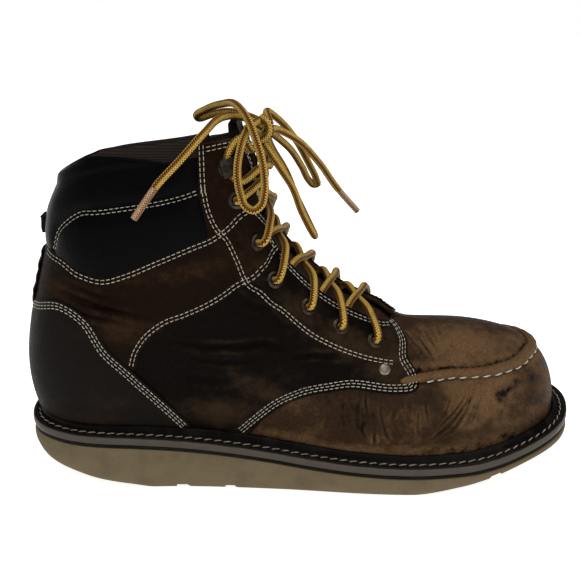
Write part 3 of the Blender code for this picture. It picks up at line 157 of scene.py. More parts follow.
CREASES = [
    Crease([(6.32, 0.400), (6.20, 0.300), (6.16, 0.200), (6.18, 0.110)], 0.40, 0.6),
    Crease([(6.46, 0.380), (6.38, 0.290), (6.33, 0.190), (6.36, 0.120)], 0.32, 0.6),
    Crease([(6.12, 0.420), (6.02, 0.330), (5.98, 0.260)], 0.42, 0.6),
    Crease([(5.86, 0.400), (5.80, 0.320), (5.80, 0.240)], 0.36, 0.6),
    Crease([(5.70, 0.360), (5.66, 0.280), (5.69, 0.190), (5.74, 0.120)], 0.34, 0.6),
    Crease([(5.48, 0.330), (5.48, 0.240), (5.54, 0.160)], 0.30, 0.6),
    Crease([(6.64, 0.420), (6.56, 0.330), (6.55, 0.250)], 0.30, 0.6),
    Crease([(6.78, 0.330), (6.66, 0.230), (6.60, 0.140)], 0.34, 0.6),
    Crease([(7.00, 0.400), (6.90, 0.320), (6.84, 0.240)], 0.28, 0.6),
    Crease([(7.62, 0.400), (7.40, 0.340), (7.20, 0.290), (7.02, 0.250)], 0.34, 0.6),
    Crease([(8.44, 0.400), (8.20, 0.330), (7.90, 0.250), (7.66, 0.190)], 0.36, 0.6),
    Crease([(8.18, 0.451), (7.98, 0.358), (7.55, 0.276), (7.18, 0.217), (6.75, 0.116)], 0.75, 0.8),
    Crease([(8.34, 0.443), (8.01, 0.345), (7.59, 0.252), (7.16, 0.173), (6.95, 0.145)], 0.80, 0.8),
    Crease([(8.03, 0.435), (7.92, 0.373), (7.52, 0.301), (7.14, 0.241), (6.92, 0.180)], 0.60, 0.7),
    Crease([(7.80, 0.330), (7.48, 0.262), (7.10, 0.190), (6.80, 0.150)], 0.45, 0.6),
    Crease([(6.02, 0.190), (5.99, 0.140), (5.97, 0.065)], 0.55, 0.8),
    Crease([(5.89, 0.217), (5.83, 0.153), (5.86, 0.106)], 0.60, 0.8),
    Crease([(5.98, 0.366), (5.85, 0.283), (5.80, 0.221), (5.78, 0.150)], 0.55, 1.0),
    Crease([(6.16, 0.213), (6.16, 0.144), (6.22, 0.097)], 0.50, 0.8),
    Crease([(5.73, 0.330), (5.59, 0.231), (5.60, 0.158)], 0.45, 0.9),
    Crease([(6.51, 0.357), (6.32, 0.252), (6.31, 0.176)], 0.45, 0.9),
    Crease([(6.72, 0.400), (6.60, 0.300), (6.52, 0.210)], 0.35, 0.9),
    Crease([(5.45, 0.250), (5.36, 0.180), (5.30, 0.120)], 0.35, 0.9),
    Crease([(8.25, 0.884), (8.13, 0.767), (8.05, 0.658)], 0.40, 0.8),
    Crease([(8.45, 0.780), (8.43, 0.707), (8.38, 0.631)], 0.35, 0.8),
    Crease([(7.92, 0.807), (7.88, 0.713), (7.82, 0.622)], 0.45, 0.8),
    Crease([(8.57, 0.916), (8.42, 0.800), (8.30, 0.719)], 0.35, 0.8),
    Crease([(7.70, 0.900), (7.68, 0.780), (7.70, 0.660)], 0.40, 0.8),
    Crease([(1.30, 0.607), (1.44, 0.600), (1.84, 0.556), (2.23, 0.520), (2.51, 0.497), (2.78, 0.482)], 0.95, 1.5),
    Crease([(1.49, 0.584), (1.85, 0.540), (2.17, 0.517), (2.44, 0.500)], 0.60, 1.2),
    Crease([(1.40, 0.640), (1.75, 0.600), (2.10, 0.565), (2.50, 0.545)], 0.55, 1.4),
    Crease([(1.58, 0.550), (1.93, 0.500), (2.27, 0.478), (2.54, 0.455)], 0.60, 1.3),
    Crease([(3.06, 0.392), (3.37, 0.371), (3.67, 0.359), (4.14, 0.362), (4.68, 0.445), (5.09, 0.504)], 0.75, 1.6),
    Crease([(5.05, 0.461), (5.35, 0.519), (5.62, 0.568), (6.12, 0.640)], 0.55, 1.2),
    Crease([(3.11, 0.284), (3.40, 0.251), (3.76, 0.236), (4.14, 0.247)], 0.50, 1.8),
    Crease([(3.24, 0.344), (3.60, 0.313), (4.06, 0.307), (4.50, 0.359)], 0.45, 1.4),
    Crease([(3.90, 0.540), (4.30, 0.520), (4.80, 0.600), (5.20, 0.620)], 0.35, 1.3),
]
MEDIAL_CREASES = [
    Crease([(14.0, 0.440), (14.3, 0.330), (14.8, 0.240), (15.3, 0.130)], 0.70, 0.9),
    Crease([(13.8, 0.430), (14.1, 0.300), (14.6, 0.210), (15.0, 0.110)], 0.60, 0.8),
    Crease([(16.0, 0.330), (16.1, 0.220), (16.2, 0.120)], 0.50, 1.0),
    Crease([(15.7, 0.300), (15.8, 0.200), (15.8, 0.100)], 0.45, 1.0),
    Crease([(17.2, 0.450), (17.8, 0.360), (18.5, 0.350), (18.9, 0.390)], 0.70, 1.6),
    Crease([(20.5, 0.600), (20.1, 0.550), (19.6, 0.515), (19.2, 0.490)], 0.80, 1.5),
    Crease([(20.4, 0.570), (20.0, 0.520), (19.6, 0.490)], 0.50, 1.2),
]


def unit(v: Array) -> Array:
    """The same directions with length 1."""
    return v / np.linalg.norm(v, axis=-1, keepdims=True)


def run_along(points: Array) -> Array:
    """Length of a line up to each of its points, from 0."""
    return np.concatenate([[0], np.cumsum(np.linalg.norm(np.diff(points, axis=0), axis=-1))])


def read_rows(places: Array, run: Array, rows: Array) -> Array:
    """Rows of numbers read between the places where they are known."""
    return np.stack([np.interp(places, run, rows[:, k]) for k in range(rows.shape[1])], -1)


def hermite(start: Array, end: Array, leave: Array, arrive: Array, t: Array) -> Array:
    """Points at shares t of the cubic between two points with the given slopes."""
    return ((2 * t**3 - 3 * t**2 + 1) * start + (t**3 - 2 * t**2 + t) * leave
            + (3 * t**2 - 2 * t**3) * end + (t**3 - t**2) * arrive)


def steady(xs: Sequence[float], ys: Array, x: Array) -> Array:
    """Values of the curve through (xs, ys) that never overshoots its points.

    Args:
        xs: rising places of the points.
        ys: their values, one row each.
        x: where to read the curve.
    Returns:
        One row of values for each x.
    """
    xs = np.asarray(xs, float)
    ys = np.asarray(ys, float)
    if ys.ndim == 1:
        return steady(xs, ys[:, None], x)[..., 0]
    x = np.clip(np.asarray(x, float), xs[0], xs[-1])
    steps = np.diff(ys, axis=0) / np.diff(xs)[:, None]
    m = np.zeros_like(ys)
    m[0], m[-1] = steps[0], steps[-1]
    before, after = steps[:-1], steps[1:]
    same = before * after > 0
    m[1:-1] = np.where(same, 2 * before * after / np.where(same, before + after, 1.0), 0.0)
    i = np.clip(np.searchsorted(xs, x, side="right") - 1, 0, len(xs) - 2)
    h = np.diff(xs)[i][..., None]
    t = (x - xs[i])[..., None] / h
    return hermite(ys[i], ys[i + 1], h * m[i], h * m[i + 1], t)


def smooth_path(points: Array, step: float, scale: Sequence[float] = (1.0, 1.0, 1.0)) -> Array:
    """Evenly spaced points along a smooth open curve through the given ones.

    Args:
        points: rows of two or three numbers.
        step: distance between the new points.
        scale: size of each number's unit, for places told by station and share.
    Returns:
        The new rows.
    """
    points = np.asarray(points, float)
    scale = np.asarray(scale[:points.shape[1]], float)
    points = points * scale
    chord = run_along(points)
    if len(points) > 2:
        tangent = np.gradient(points, chord, axis=0)
    else:
        tangent = np.diff(points, axis=0).repeat(2, 0) / chord[-1]
    fine = []
    for i in range(len(points) - 1):
        h = chord[i + 1] - chord[i]
        t = np.linspace(0, 1, 16, endpoint=i == len(points) - 2)[:, None]
        fine.append(hermite(points[i], points[i + 1], h * tangent[i], h * tangent[i + 1], t))
    fine = np.concatenate(fine)
    run = run_along(fine)
    even = np.linspace(0, run[-1], max(2, int(round(run[-1] / step)) + 1))
    return read_rows(even, run, fine) / scale


PLACE_SCALE = (33 * MM, 120 * MM)


def place_line(places: Sequence[Place], count: Optional[int] = None, step: float = 1.5 * MM) -> Array:
    """Evenly spaced places along a smooth line on the leather.

    Args:
        places: the line's (station, share) places.
        count: how many places to give, or None to use the step.
        step: their distance where no count is given.
    Returns:
        Rows of (station, share).
    """
    line = smooth_path(places, step if count is None else 0.4 * MM, PLACE_SCALE)
    if count is None:
        return line
    run = run_along(line * PLACE_SCALE)
    even = np.linspace(0, run[-1], count)
    return read_rows(even, run, line)


def true_spaced(line: Array, pitch: float) -> Array:
    """Places along a line of places, a stitch pitch apart on the leather itself."""
    fine = place_line(line, None, 0.6 * MM)
    points = FORM.surface(fine[:, 0], np.clip(fine[:, 1], 0, 1))
    run = run_along(points)
    even = np.linspace(0.5 * pitch, run[-1] - 0.5 * pitch, max(2, round(run[-1] / pitch)))
    return read_rows(even, run, fine)


def mirrored(line: Sequence[Place]) -> list[Place]:
    """The same line over the other half of the heel, run the other way."""
    return [(-u, v) for u, v in reversed(line)]


def other_side(line: Sequence[Place]) -> list[Place]:
    """The same line on the medial side."""
    return [(LOOP - u, v) for u, v in line]


@dataclass
class BootForm:
    """The smooth form of the boot, in the foot's frame with the heel's back at X = 0."""

    length: float = 314 * MM
    ball_width: float = 107 * MM
    shaft_height: float = 196 * MM
    heel_stack: float = 36.5 * MM
    welt_show: float = 9 * MM
    centre: Array = field(init=False)

    def __post_init__(self) -> None:
        """Work out the outline's curve and the columns of the top line."""
        outline, columns = [], []
        for side, stations in ((-1, STATIONS), (1, STATIONS[-2:0:-1])):
            for s in stations:
                width, top, rim = ((s.lateral, s.top_lateral, s.rim_lateral) if side < 0
                                   else (s.medial, s.top_medial, s.rim_medial))
                outline.append((s.along * self.length, side * width * self.ball_width))
                columns.append((s.top_along * self.length, side * top * self.ball_width,
                                rim * self.shaft_height, s.lean_low, s.reach_low * self.shaft_height,
                                s.lean_top, s.reach_top * self.shaft_height))
        self._outline = np.array(outline)
        columns = np.array(columns)
        same = np.eye(len(outline))
        matrix = 4 * same + np.roll(same, 1, 0) + np.roll(same, -1, 0)
        bend = np.roll(self._outline, -1, 0) - 2 * self._outline + np.roll(self._outline, 1, 0)
        self._bends = np.linalg.solve(matrix, 6 * bend)
        self._wrap = np.arange(-3, LOOP + 3, dtype=float)
        self._columns = np.vstack([columns[-3:], columns, columns[:3]])
        ring = self.outline(np.arange(LOOP * 3) / 3)
        middle = (ring.min(axis=0) + ring.max(axis=0)) / 2
        self.centre = np.array([middle[0], middle[1], 0.0])

    def outline(self, u: Array) -> Array:
        """Level points of the sole's outline at stations u."""
        u = np.asarray(u, float) % LOOP
        i = np.floor(u).astype(int) % LOOP
        j = (i + 1) % LOOP
        t = (u - np.floor(u))[..., None]
        s = 1 - t
        return (s * self._outline[i] + t * self._outline[j]
                + ((s**3 - s) * self._bends[i] + (t**3 - t) * self._bends[j]) / 6)

    def outward(self, u: Array) -> Array:
        """Level directions square to the outline, away from the foot."""
        u = np.asarray(u, float)
        along = self.outline(u + 0.001) - self.outline(u - 0.001)
        along = unit(along)
        return np.stack([along[..., 1], -along[..., 0], np.zeros_like(along[..., 0])], -1)

    def profile(self, heights: Sequence[float], x: Array) -> Array:
        """Heights of one line of the sole, given by the profiles' shares of the heel's stack."""
        return self.heel_stack * steady([p.along * self.length for p in PROFILES], heights, x)

    def tread(self, x: Array) -> Array:
        """Heights of the tread over the floor."""
        return self.profile([p.tread for p in PROFILES], x)

    def welt(self, x: Array) -> Array:
        """Heights of the welt's top."""
        return self.profile([p.welt for p in PROFILES], x)

    def foot(self, u: Array) -> Array:
        """Points where the upper meets the welt."""
        level = self.outline(u) - self.outward(u)[..., :2] * self.welt_show
        return np.concatenate([level, self.welt(level[..., 0])[..., None]], -1)

    def surface(self, u: Array, v: Array) -> Array:
        """Points of the upper's outside at stations u and shares v of the way up."""
        u = np.asarray(u, float)
        v = np.asarray(v, float)[..., None]
        column = steady(self._wrap, self._columns, u % LOOP)
        out = self.outward(u)
        lean_low = np.radians(column[..., 3:4])
        lean_top = np.radians(column[..., 5:6])
        foot = self.foot(u)
        low = foot + column[..., 4:5] * (out * np.sin(lean_low) + UP * np.cos(lean_low))
        top = column[..., :3]
        high = top - column[..., 6:7] * (out * np.sin(lean_top) + UP * np.cos(lean_top))
        w = 1 - v
        return w**3 * foot + 3 * w * w * v * low + 3 * w * v * v * high + v**3 * top

    def _square(self, u: Array, v: Array) -> Array:
        """Directions square to the surface, from its slopes."""
        v = np.clip(v, 0.004, 0.992)
        along = self.surface(u + 0.01, v) - self.surface(u - 0.01, v)
        up = self.surface(u, v + 0.004) - self.surface(u, v - 0.004)
        return unit(np.cross(along, up))

    def normal(self, u: Array, v: Array) -> Array:
        """Outward directions, shared by both sides where they meet over the toe."""
        u, v = np.broadcast_arrays(np.asarray(u, float), np.asarray(v, float))
        half = np.minimum(u % LOOP, LOOP - u % LOOP)
        closed = np.clip((half - 7.4) / 0.6, 0, 1)
        n = self._square(u, np.where(closed > 0, np.minimum(v, 0.965), v))
        share = np.clip((v - 0.80) / 0.20, 0, 1) ** 2 * closed
        m = self._square(LOOP - u, np.minimum(v, 0.965))
        return unit(n + share[..., None] * m)

    def lifted(self, u: Array, v: Array, height: Array) -> Array:
        """Points at a height over the surface."""
        u, v = np.broadcast_arrays(np.asarray(u, float), np.asarray(v, float))
        return self.surface(u, v) + self.normal(u, v) * np.asarray(height, float)[..., None]

    def seam(self, u: Array) -> tuple[Array, Array]:
        """Share of the way up of the moc seam at stations u, and the share of its ridge."""
        u = np.asarray(u, float) % LOOP
        half = np.minimum(u, LOOP - u)
        found = steady([p[0] for p in MOC_SEAM], np.array([p[1:] for p in MOC_SEAM]), half)
        return found[..., 0], found[..., 1]

    def span(self, u: Array, v: Array) -> Array:
        """Length of leather in one whole share of the way up, near a place."""
        return np.linalg.norm(self.slopes(u, np.clip(v, 0.01, 0.99))[1], axis=-1)

    def slopes(self, u: Array, v: Array) -> tuple[Array, Array]:
        """How far the surface goes for one station round and for one whole share up, at places."""
        return ((self.surface(u + 0.01, v) - self.surface(u - 0.01, v)) / 0.02,
                (self.surface(u, v + 0.01) - self.surface(u, v - 0.01)) / 0.02)

    def shifted(self, line: Sequence[Place], amount: float) -> list[Place]:
        """The line moved sideways on the leather, to the left of its run for a plus amount."""
        line = np.asarray(line, float)
        ahead = np.gradient(line * PLACE_SCALE, axis=0) / PLACE_SCALE
        u, v = line[:, 0], np.clip(line[:, 1], 0.02, 0.98)
        su, sv = self.slopes(u, v)
        a, b, c = np.sum(su * su, -1), np.sum(su * sv, -1), np.sum(sv * sv, -1)
        left, right = -ahead[:, 1], ahead[:, 0]
        side = np.stack([c * left - b * right, a * right - b * left], -1) / (a * c - b * b)[:, None]
        side /= np.sqrt(side[:, 0] * left + side[:, 1] * right)[:, None]
        return [tuple(p) for p in line + amount * side]


FORM = BootForm()
OVERLAP = 2.9 * MM
TRIPLE_OVERLAP = 3.4 * MM
COUNTER_LINE = FORM.shifted(COUNTER_EDGE, TRIPLE_OVERLAP)
COUNTER_LINE[0] = (0.0, COUNTER_LINE[0][1])
ANKLE_TOP = FORM.shifted(COLLAR_LINE[:-1] + FACING_FOOT, OVERLAP)
ANKLE_TOP[0] = (0.0, ANKLE_TOP[0][1])
ANKLE_FOOT = FORM.shifted(SADDLE_TOP, -OVERLAP)
SADDLE_EDGE = FORM.shifted(SADDLE_FRONT, -TRIPLE_OVERLAP)
FACING_EDGE = FORM.shifted(FACING_BACK, OVERLAP)


def line_gap(points: Array, line: Array, reach: float) -> tuple[Array, Array]:
    """Distance from points to a line, and the share of its run where they are nearest.

    Args:
        points: rows of three numbers.
        line: the line's points.
        reach: how far off points are still looked at.
    Returns:
        Distances, 1 m where out of reach, and shares of the run.
    """
    gap = np.full(len(points), 1.0)
    where = np.zeros(len(points))
    for first in range(0, len(line) - 1, 6):
        piece = line[first:first + 7]
        low, high = piece.min(0) - reach, piece.max(0) + reach
        near = np.nonzero(np.all((points >= low) & (points <= high), axis=1))[0]
        if not len(near):
            continue
        spots = points[near]
        for k in range(len(piece) - 1):
            a, d = piece[k], piece[k + 1] - piece[k]
            t = np.clip(((spots - a) @ d) / (d @ d), 0, 1)
            off = np.linalg.norm(spots - a - t[:, None] * d, axis=1)
            closer = off < gap[near]
            chosen = near[closer]
            gap[chosen] = off[closer]
            where[chosen] = (first + k + t[closer]) / (len(line) - 1)
    return gap, where


class Relief:
    """Folds and stitch troughs of the leather, as heights over the smooth form."""

    deeper = 1.5
    reach = 4.5
    full_depth = 1.1 * MM

    def __init__(self) -> None:
        """Lay the creases of both sides out as lines of points."""
        self.lines: list[tuple[Array, float, float, bool]] = []
        for crease in CREASES + MEDIAL_CREASES:
            self.add(crease.places, self.deeper * crease.depth * MM, crease.width * MM, True)

    def add(self, places: Sequence[Place], depth: float, width: float, tapered: bool) -> None:
        """Add one trough.

        Args:
            places: the line on the leather.
            depth: how deep it is.
            width: its half width.
            tapered: whether it fades out towards its ends.
        """
        line = place_line(places, None, 1.6 * MM)
        self.lines.append((FORM.surface(line[:, 0], line[:, 1]), depth, width, tapered))

    def near_lines(self, points: Array) -> Iterator[tuple[Array, Array, Array, float, bool]]:
        """Go through the lines and the points near them.

        Args:
            points: rows of three numbers.
        Returns:
            For each line: numbers of the near points, their gaps from it in its half widths, how much of
            it is left there, its depth and whether it fades out.
        """
        for line, depth, width, tapered in self.lines:
            gap, where = line_gap(points, line, self.reach * width)
            near = np.nonzero(gap < self.reach * width)[0]
            fade = np.sin(np.pi * np.clip(where[near], 0, 1)) ** 0.6 if tapered else np.ones(len(near))
            yield near, gap[near] / width, fade, depth, tapered

    def height(self, u: Array, v: Array) -> Array:
        """Heights at places on the leather."""
        u, v = np.broadcast_arrays(np.asarray(u, float), np.asarray(v, float))
        points = FORM.surface(u, v).reshape(-1, 3)
        total = np.zeros(len(points))
        for near, gap, fade, depth, _ in self.near_lines(points):
            total[near] += depth * fade * (0.38 * np.exp(-((gap - 2.0) ** 2)) - np.exp(-(gap**2)))
        return total.reshape(u.shape)

    def folds(self, u: Array, v: Array) -> tuple[Array, Array]:
        """Shares of the hollows of creases and of the crests beside them, at places: painted shade for the hollows
        and painted highlights for the crests.
        """
        points = FORM.surface(u, v).reshape(-1, 3)
        hollow, crest_highlight = np.zeros(len(points)), np.zeros(len(points))
        for near, gap, fade, depth, tapered in self.near_lines(points):
            if tapered:
                fade = fade * min(1.0, depth / self.full_depth)
                hollow[near] = np.maximum(hollow[near], fade * np.exp(-((gap / 0.8) ** 2)))
                crest_highlight[near] = np.maximum(crest_highlight[near], fade * np.exp(-((gap - 2.1) ** 2)))
        return hollow.reshape(np.shape(u)), crest_highlight.reshape(np.shape(u))


RELIEF = Relief()


def spot_mask(u: Array, v: Array, spots: Sequence[Spot]) -> Array:
    """Strength of patches of wear or dirt at places on the leather, 0 to 1."""
    points = FORM.surface(u, v)
    total = np.zeros(points.shape[:-1])
    for s in spots:
        centre = FORM.surface(s.station, s.up)
        along = unit(FORM.surface(s.station + 0.01, s.up) - FORM.surface(s.station - 0.01, s.up))
        out = FORM.normal(s.station, s.up)
        off = points - centre
        across = (off @ along) / (s.size_round * MM)
        up = (off @ np.cross(out, along)) / (s.size_up * MM)
        deep = (off @ out) / (1.2 * max(s.size_round, s.size_up) * MM)
        total = np.maximum(total, s.strength * np.exp(-(across**2 + up**2 + deep**2)))
    return np.clip(total, 0, 1)


WEAR = [
    Spot(8.44, 0.376, 26, 18, 0.75), Spot(8.10, 0.250, 20, 12, 0.60), Spot(8.78, 0.744, 30, 16, 0.85),
    Spot(8.60, 0.850, 22, 14, 0.55), Spot(9.6, 0.700, 40, 16, 0.60), Spot(10.4, 0.30, 40, 14, 0.55),
    Spot(5.76, 0.030, 50, 5, 0.80), Spot(6.90, 0.040, 50, 6, 0.90), Spot(8.00, 0.060, 40, 8, 0.70),
    Spot(9.40, 0.120, 40, 12, 0.60), Spot(6.70, 0.250, 16, 12, 0.35), Spot(8.2, 0.56, 40, 5, 0.70),
    Spot(9.4, 0.60, 40, 6, 0.70), Spot(10.6, 0.72, 40, 6, 0.60), Spot(12.6, 0.60, 50, 8, 0.55),
    Spot(14.0, 0.30, 40, 14, 0.55), Spot(15.5, 0.06, 70, 7, 0.65), Spot(13.0, 0.30, 36, 16, 0.50),
    Spot(4.90, 0.045, 30, 5, 0.55),
    Spot(6.30, 0.740, 34, 10, 0.62), Spot(5.50, 0.780, 26, 10, 0.50), Spot(6.70, 0.620, 18, 14, 0.60),
    Spot(7.00, 0.780, 14, 18, 0.55), Spot(4.60, 0.240, 26, 9, 0.52), Spot(3.70, 0.120, 34, 10, 0.55),
    Spot(5.00, 0.350, 18, 8, 0.35), Spot(2.40, 0.440, 22, 8, 0.45), Spot(3.20, 0.620, 34, 6, 0.45),
    Spot(1.30, 0.620, 22, 7, 0.45), Spot(4.40, 0.660, 24, 12, 0.40), Spot(3.90, 0.900, 12, 16, 0.35),
    Spot(1.60, 0.060, 46, 7, 0.55), Spot(0.80, 0.300, 24, 16, 0.30), Spot(2.20, 0.140, 24, 9, 0.35),
    Spot(15.8, 0.780, 36, 10, 0.55), Spot(17.5, 0.200, 34, 9, 0.40), Spot(20.2, 0.060, 46, 7, 0.50),
]
SOIL = [
    Spot(8.63, 0.324, 4.0, 4.2, 1.0), Spot(8.85, 0.352, 7.0, 2.6, 0.75), Spot(9.10, 0.378, 6.0, 3.0, 0.60),
    Spot(9.57, 0.379, 4.5, 4.0, 0.60), Spot(5.89, 0.247, 16, 12, 0.45), Spot(5.55, 0.330, 16, 10, 0.40),
    Spot(6.15, 0.400, 22, 9, 0.45), Spot(7.49, 0.700, 12, 14, 0.45), Spot(5.70, 0.150, 14, 9, 0.35),
    Spot(8.00, 0.040, 60, 10, 0.60), Spot(10.2, 0.040, 50, 10, 0.55), Spot(6.90, 0.300, 12, 16, 0.30),
    Spot(7.05, 0.420, 14, 8, 0.45), Spot(4.70, 0.120, 12, 8, 0.35), Spot(9.85, 0.300, 12, 12, 0.25),
    Spot(16.2, 0.25, 26, 16, 0.50), Spot(12.4, 0.30, 14, 8, 0.40),
]


def boot_mesh(name: str, points: Array, faces: Sequence[Sequence[int]]) -> bpy.types.Object:
    """A new object from points in the foot's frame, placed in the row's frame.

    Args:
        name: the piece's name.
        points: its points.
        faces: its faces.
    Returns:
        The object, at the origin with its place in its mesh.
    """
    mesh = bpy.data.meshes.new(name)
    places = np.asarray(points, float).reshape(-1, 3) - FORM.centre
    mesh.from_pydata(places.tolist(), [], [tuple(f) for f in faces])
    mesh.update()
    made = bpy.data.objects.new(name, mesh)
    bpy.context.scene.collection.objects.link(made)
    return made


def grid_faces(columns: int, rows: int, closed: bool = False, closed_rows: bool = False,
               start: int = 0) -> list:
    """Quads of a grid of points kept column by column.

    Args:
        columns: how many columns.
        rows: points of a column.
        closed: whether the last column joins the first.
        closed_rows: whether each column is a ring.
        start: number of the first point.
    Returns:
        The faces.
    """
    faces = []
    for i in range(columns if closed else columns - 1):
        k = (i + 1) % columns
        for j in range(rows if closed_rows else rows - 1):
            n = (j + 1) % rows
            faces.append(tuple(start + a * rows + b for a, b in ((i, j), (k, j), (k, n), (i, n))))
    return faces


def gathered(parts: Sequence[tuple[Array, list]]) -> tuple[Array, list]:
    """Points and faces of several meshes as one."""
    points, faces, start = [], [], 0
    for some, more in parts:
        points.append(some)
        faces += [tuple(i + start for i in f) for f in more]
        start += len(some)
    return np.concatenate(points), faces


def set_attribute(made: bpy.types.Object, name: str, values: Array) -> None:
    """Store one number for each point of a mesh."""
    layer = made.data.attributes.get(name) or made.data.attributes.new(name, "FLOAT", "POINT")
    layer.data.foreach_set("value", np.asarray(values, np.float32).ravel())


def set_marks(made: bpy.types.Object, wear: object = 0.0, soil: object = 0.0, edge: object = 0.0) -> None:
    """Store worn and highlight shares, dirt and shade shares and border shares, each as one number for all or one
    for each point; the highlight and the shade are painted.
    """
    count = len(made.data.vertices)
    for name, value in (("wear", wear), ("soil", soil), ("edge", edge)):
        set_attribute(made, name, np.broadcast_to(np.ravel(value), count))


def set_uv(made: bpy.types.Object, points_uv: Array) -> None:
    """Give a mesh a UV map from one pair of numbers for each point."""
    layer = made.data.uv_layers.new(name="run")
    loops = np.zeros(len(made.data.loops), np.int32)
    made.data.loops.foreach_get("vertex_index", loops)
    layer.data.foreach_set("uv", np.asarray(points_uv, np.float32).reshape(-1, 2)[loops].ravel())


def choose(made: bpy.types.Object) -> None:
    """Make one object the only selected and active one."""
    bpy.ops.object.select_all(action="DESELECT")
    made.select_set(True)
    bpy.context.view_layer.objects.active = made


def recalculated(made: bpy.types.Object, merge: float = 0.01 * MM, turn: bool = True) -> bpy.types.Object:
    """Merge doubles and turn all faces outward, with the edit tools.

    Args:
        made: the piece.
        merge: how near doubles are, or 0 to merge none.
        turn: whether the faces are turned.
    Returns:
        The piece.
    """
    choose(made)
    bpy.ops.object.mode_set(mode="EDIT")
    bpy.ops.mesh.select_all(action="SELECT")
    if merge:
        bpy.ops.mesh.remove_doubles(threshold=merge)
    if turn:
        bpy.ops.mesh.normals_make_consistent(inside=False)
    bpy.ops.object.mode_set(mode="OBJECT")
    return made


def smoothed(made: bpy.types.Object, degrees: float = 40.0) -> bpy.types.Object:
    """Shade a mesh smooth up to an angle."""
    choose(made)
    bpy.ops.object.shade_smooth_by_angle(angle=math.radians(degrees))
    return made


def applied(made: bpy.types.Object, kind: str, **settings: object) -> bpy.types.Object:
    """Add a modifier with the given settings and apply it."""
    choose(made)
    step = made.modifiers.new(kind.lower(), kind)
    for name, value in settings.items():
        setattr(step, name, value)
    bpy.ops.object.modifier_apply(modifier=step.name)
    return made


def rounded(made: bpy.types.Object, width: float, segments: int = 2, degrees: float = 50) -> None:
    """Bevel the edges that are sharper than an angle."""
    applied(made, "BEVEL", width=width, segments=segments, limit_method="ANGLE", angle_limit=math.radians(degrees))


def dressed(made: bpy.types.Object, *finishes: "Finish") -> bpy.types.Object:
    """Give a piece its finishes, let it ride on the boot and report it."""
    made.data.materials.clear()
    for finish in finishes:
        made.data.materials.append(finish.material())
    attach(made, "root")
    LOG.info("%s: %d points, %s", made.name, len(getattr(made.data, "vertices", [])), finishes[0].name)
    return made


# Shader work

class Nodes:
    """A small helper that builds a node tree."""

    def __init__(self, tree: bpy.types.NodeTree) -> None:
        """Keep the tree."""
        self.tree = tree

    def add(self, kind: str, inputs: Optional[dict] = None, **settings: object) -> bpy.types.Node:
        """Add a node, set it up and fill its inputs with values or links.

        Args:
            kind: the node's type.
            inputs: values or output sockets by input name or number.
            settings: properties of the node itself.
        Returns:
            The node.
        """
        node = self.tree.nodes.new(kind)
        for name, value in settings.items():
            setattr(node, name, value)
        for name, value in (inputs or {}).items():
            socket = node.inputs[name]
            if isinstance(value, bpy.types.NodeSocket):
                self.tree.links.new(value, socket)
            else:
                socket.default_value = value
        return node

    def math(self, operation: str, a: object, b: object = 0.0, clamp: bool = False) -> bpy.types.NodeSocket:
        """The result of a sum on two values."""
        return self.add("ShaderNodeMath", {0: a, 1: b}, operation=operation, use_clamp=clamp).outputs[0]

    def plus(self, a: object, b: object, clamp: bool = False) -> bpy.types.NodeSocket:
        """One value plus another."""
        return self.math("ADD", a, b, clamp)

    def times(self, a: object, b: object, clamp: bool = False) -> bpy.types.NodeSocket:
        """One value times another."""
        return self.math("MULTIPLY", a, b, clamp)

    def less(self, a: object, b: object) -> bpy.types.NodeSocket:
        """One value less another."""
        return self.math("SUBTRACT", a, b)

    def mix(self, factor: object, a: object, b: object) -> bpy.types.NodeSocket:
        """A mix of two colours."""
        return self.add("ShaderNodeMix", {0: factor, 6: a, 7: b}, data_type="RGBA").outputs[2]

    def ramp(self, value: object, low: float, high: float) -> bpy.types.NodeSocket:
        """0 to 1 as a value goes from low to high, with soft ends."""
        return self.add("ShaderNodeMapRange", {0: value, 1: low, 2: high, 3: 0.0, 4: 1.0},
                        interpolation_type="SMOOTHSTEP").outputs[0]

    def link(self, value: bpy.types.NodeSocket, socket: bpy.types.NodeSocket) -> None:
        """Link an output to an input."""
        self.tree.links.new(value, socket)

    def noise(self, place: object, scale: float, detail: float = 4.0, rough: float = 0.55) -> bpy.types.NodeSocket:
        """Soft noise at a place, round 0.5."""
        return self.add("ShaderNodeTexNoise", {"Vector": place, "Scale": scale, "Detail": detail,
                                               "Roughness": rough}).outputs[0]

    def attribute(self, name: str) -> bpy.types.NodeSocket:
        """A stored number of the mesh."""
        return self.add("ShaderNodeAttribute", attribute_name=name).outputs["Fac"]

    def place(self) -> bpy.types.NodeSocket:
        """The object's own coordinates."""
        return self.add("ShaderNodeTexCoord").outputs["Object"]

    def uv(self) -> tuple[bpy.types.NodeSocket, bpy.types.NodeSocket]:
        """The two numbers of the piece's UV map."""
        node = self.add("ShaderNodeUVMap", uv_map="run")
        split = self.add("ShaderNodeSeparateXYZ", {0: node.outputs[0]})
        return split.outputs[0], split.outputs[1]


def group(name: str, ins: dict, outs: dict, build: Callable) -> bpy.types.NodeTree:
    """A shader node group, made once.

    Args:
        name: the group's name.
        ins: socket kinds and start values by name.
        outs: socket kinds by name.
        build: gets the helper and the inputs, gives the outputs by name.
    Returns:
        The group.
    """
    made = bpy.data.node_groups.get(name)
    if made:
        return made
    made = bpy.data.node_groups.new(name, "ShaderNodeTree")
    for label, (kind, start) in ins.items():
        socket = made.interface.new_socket(name=label, in_out="INPUT", socket_type=kind)
        if start is not None:
            socket.default_value = start
    for label, kind in outs.items():
        made.interface.new_socket(name=label, in_out="OUTPUT", socket_type=kind)
    nodes = Nodes(made)
    entry = made.nodes.new("NodeGroupInput")
    leave = made.nodes.new("NodeGroupOutput")
    for label, socket in build(nodes, {s.name: s for s in entry.outputs if s.name}).items():
        made.links.new(socket, leave.inputs[label])
    return made


FLOAT = "NodeSocketFloat"
COLOUR = "NodeSocketColor"
VECTOR = "NodeSocketVector"


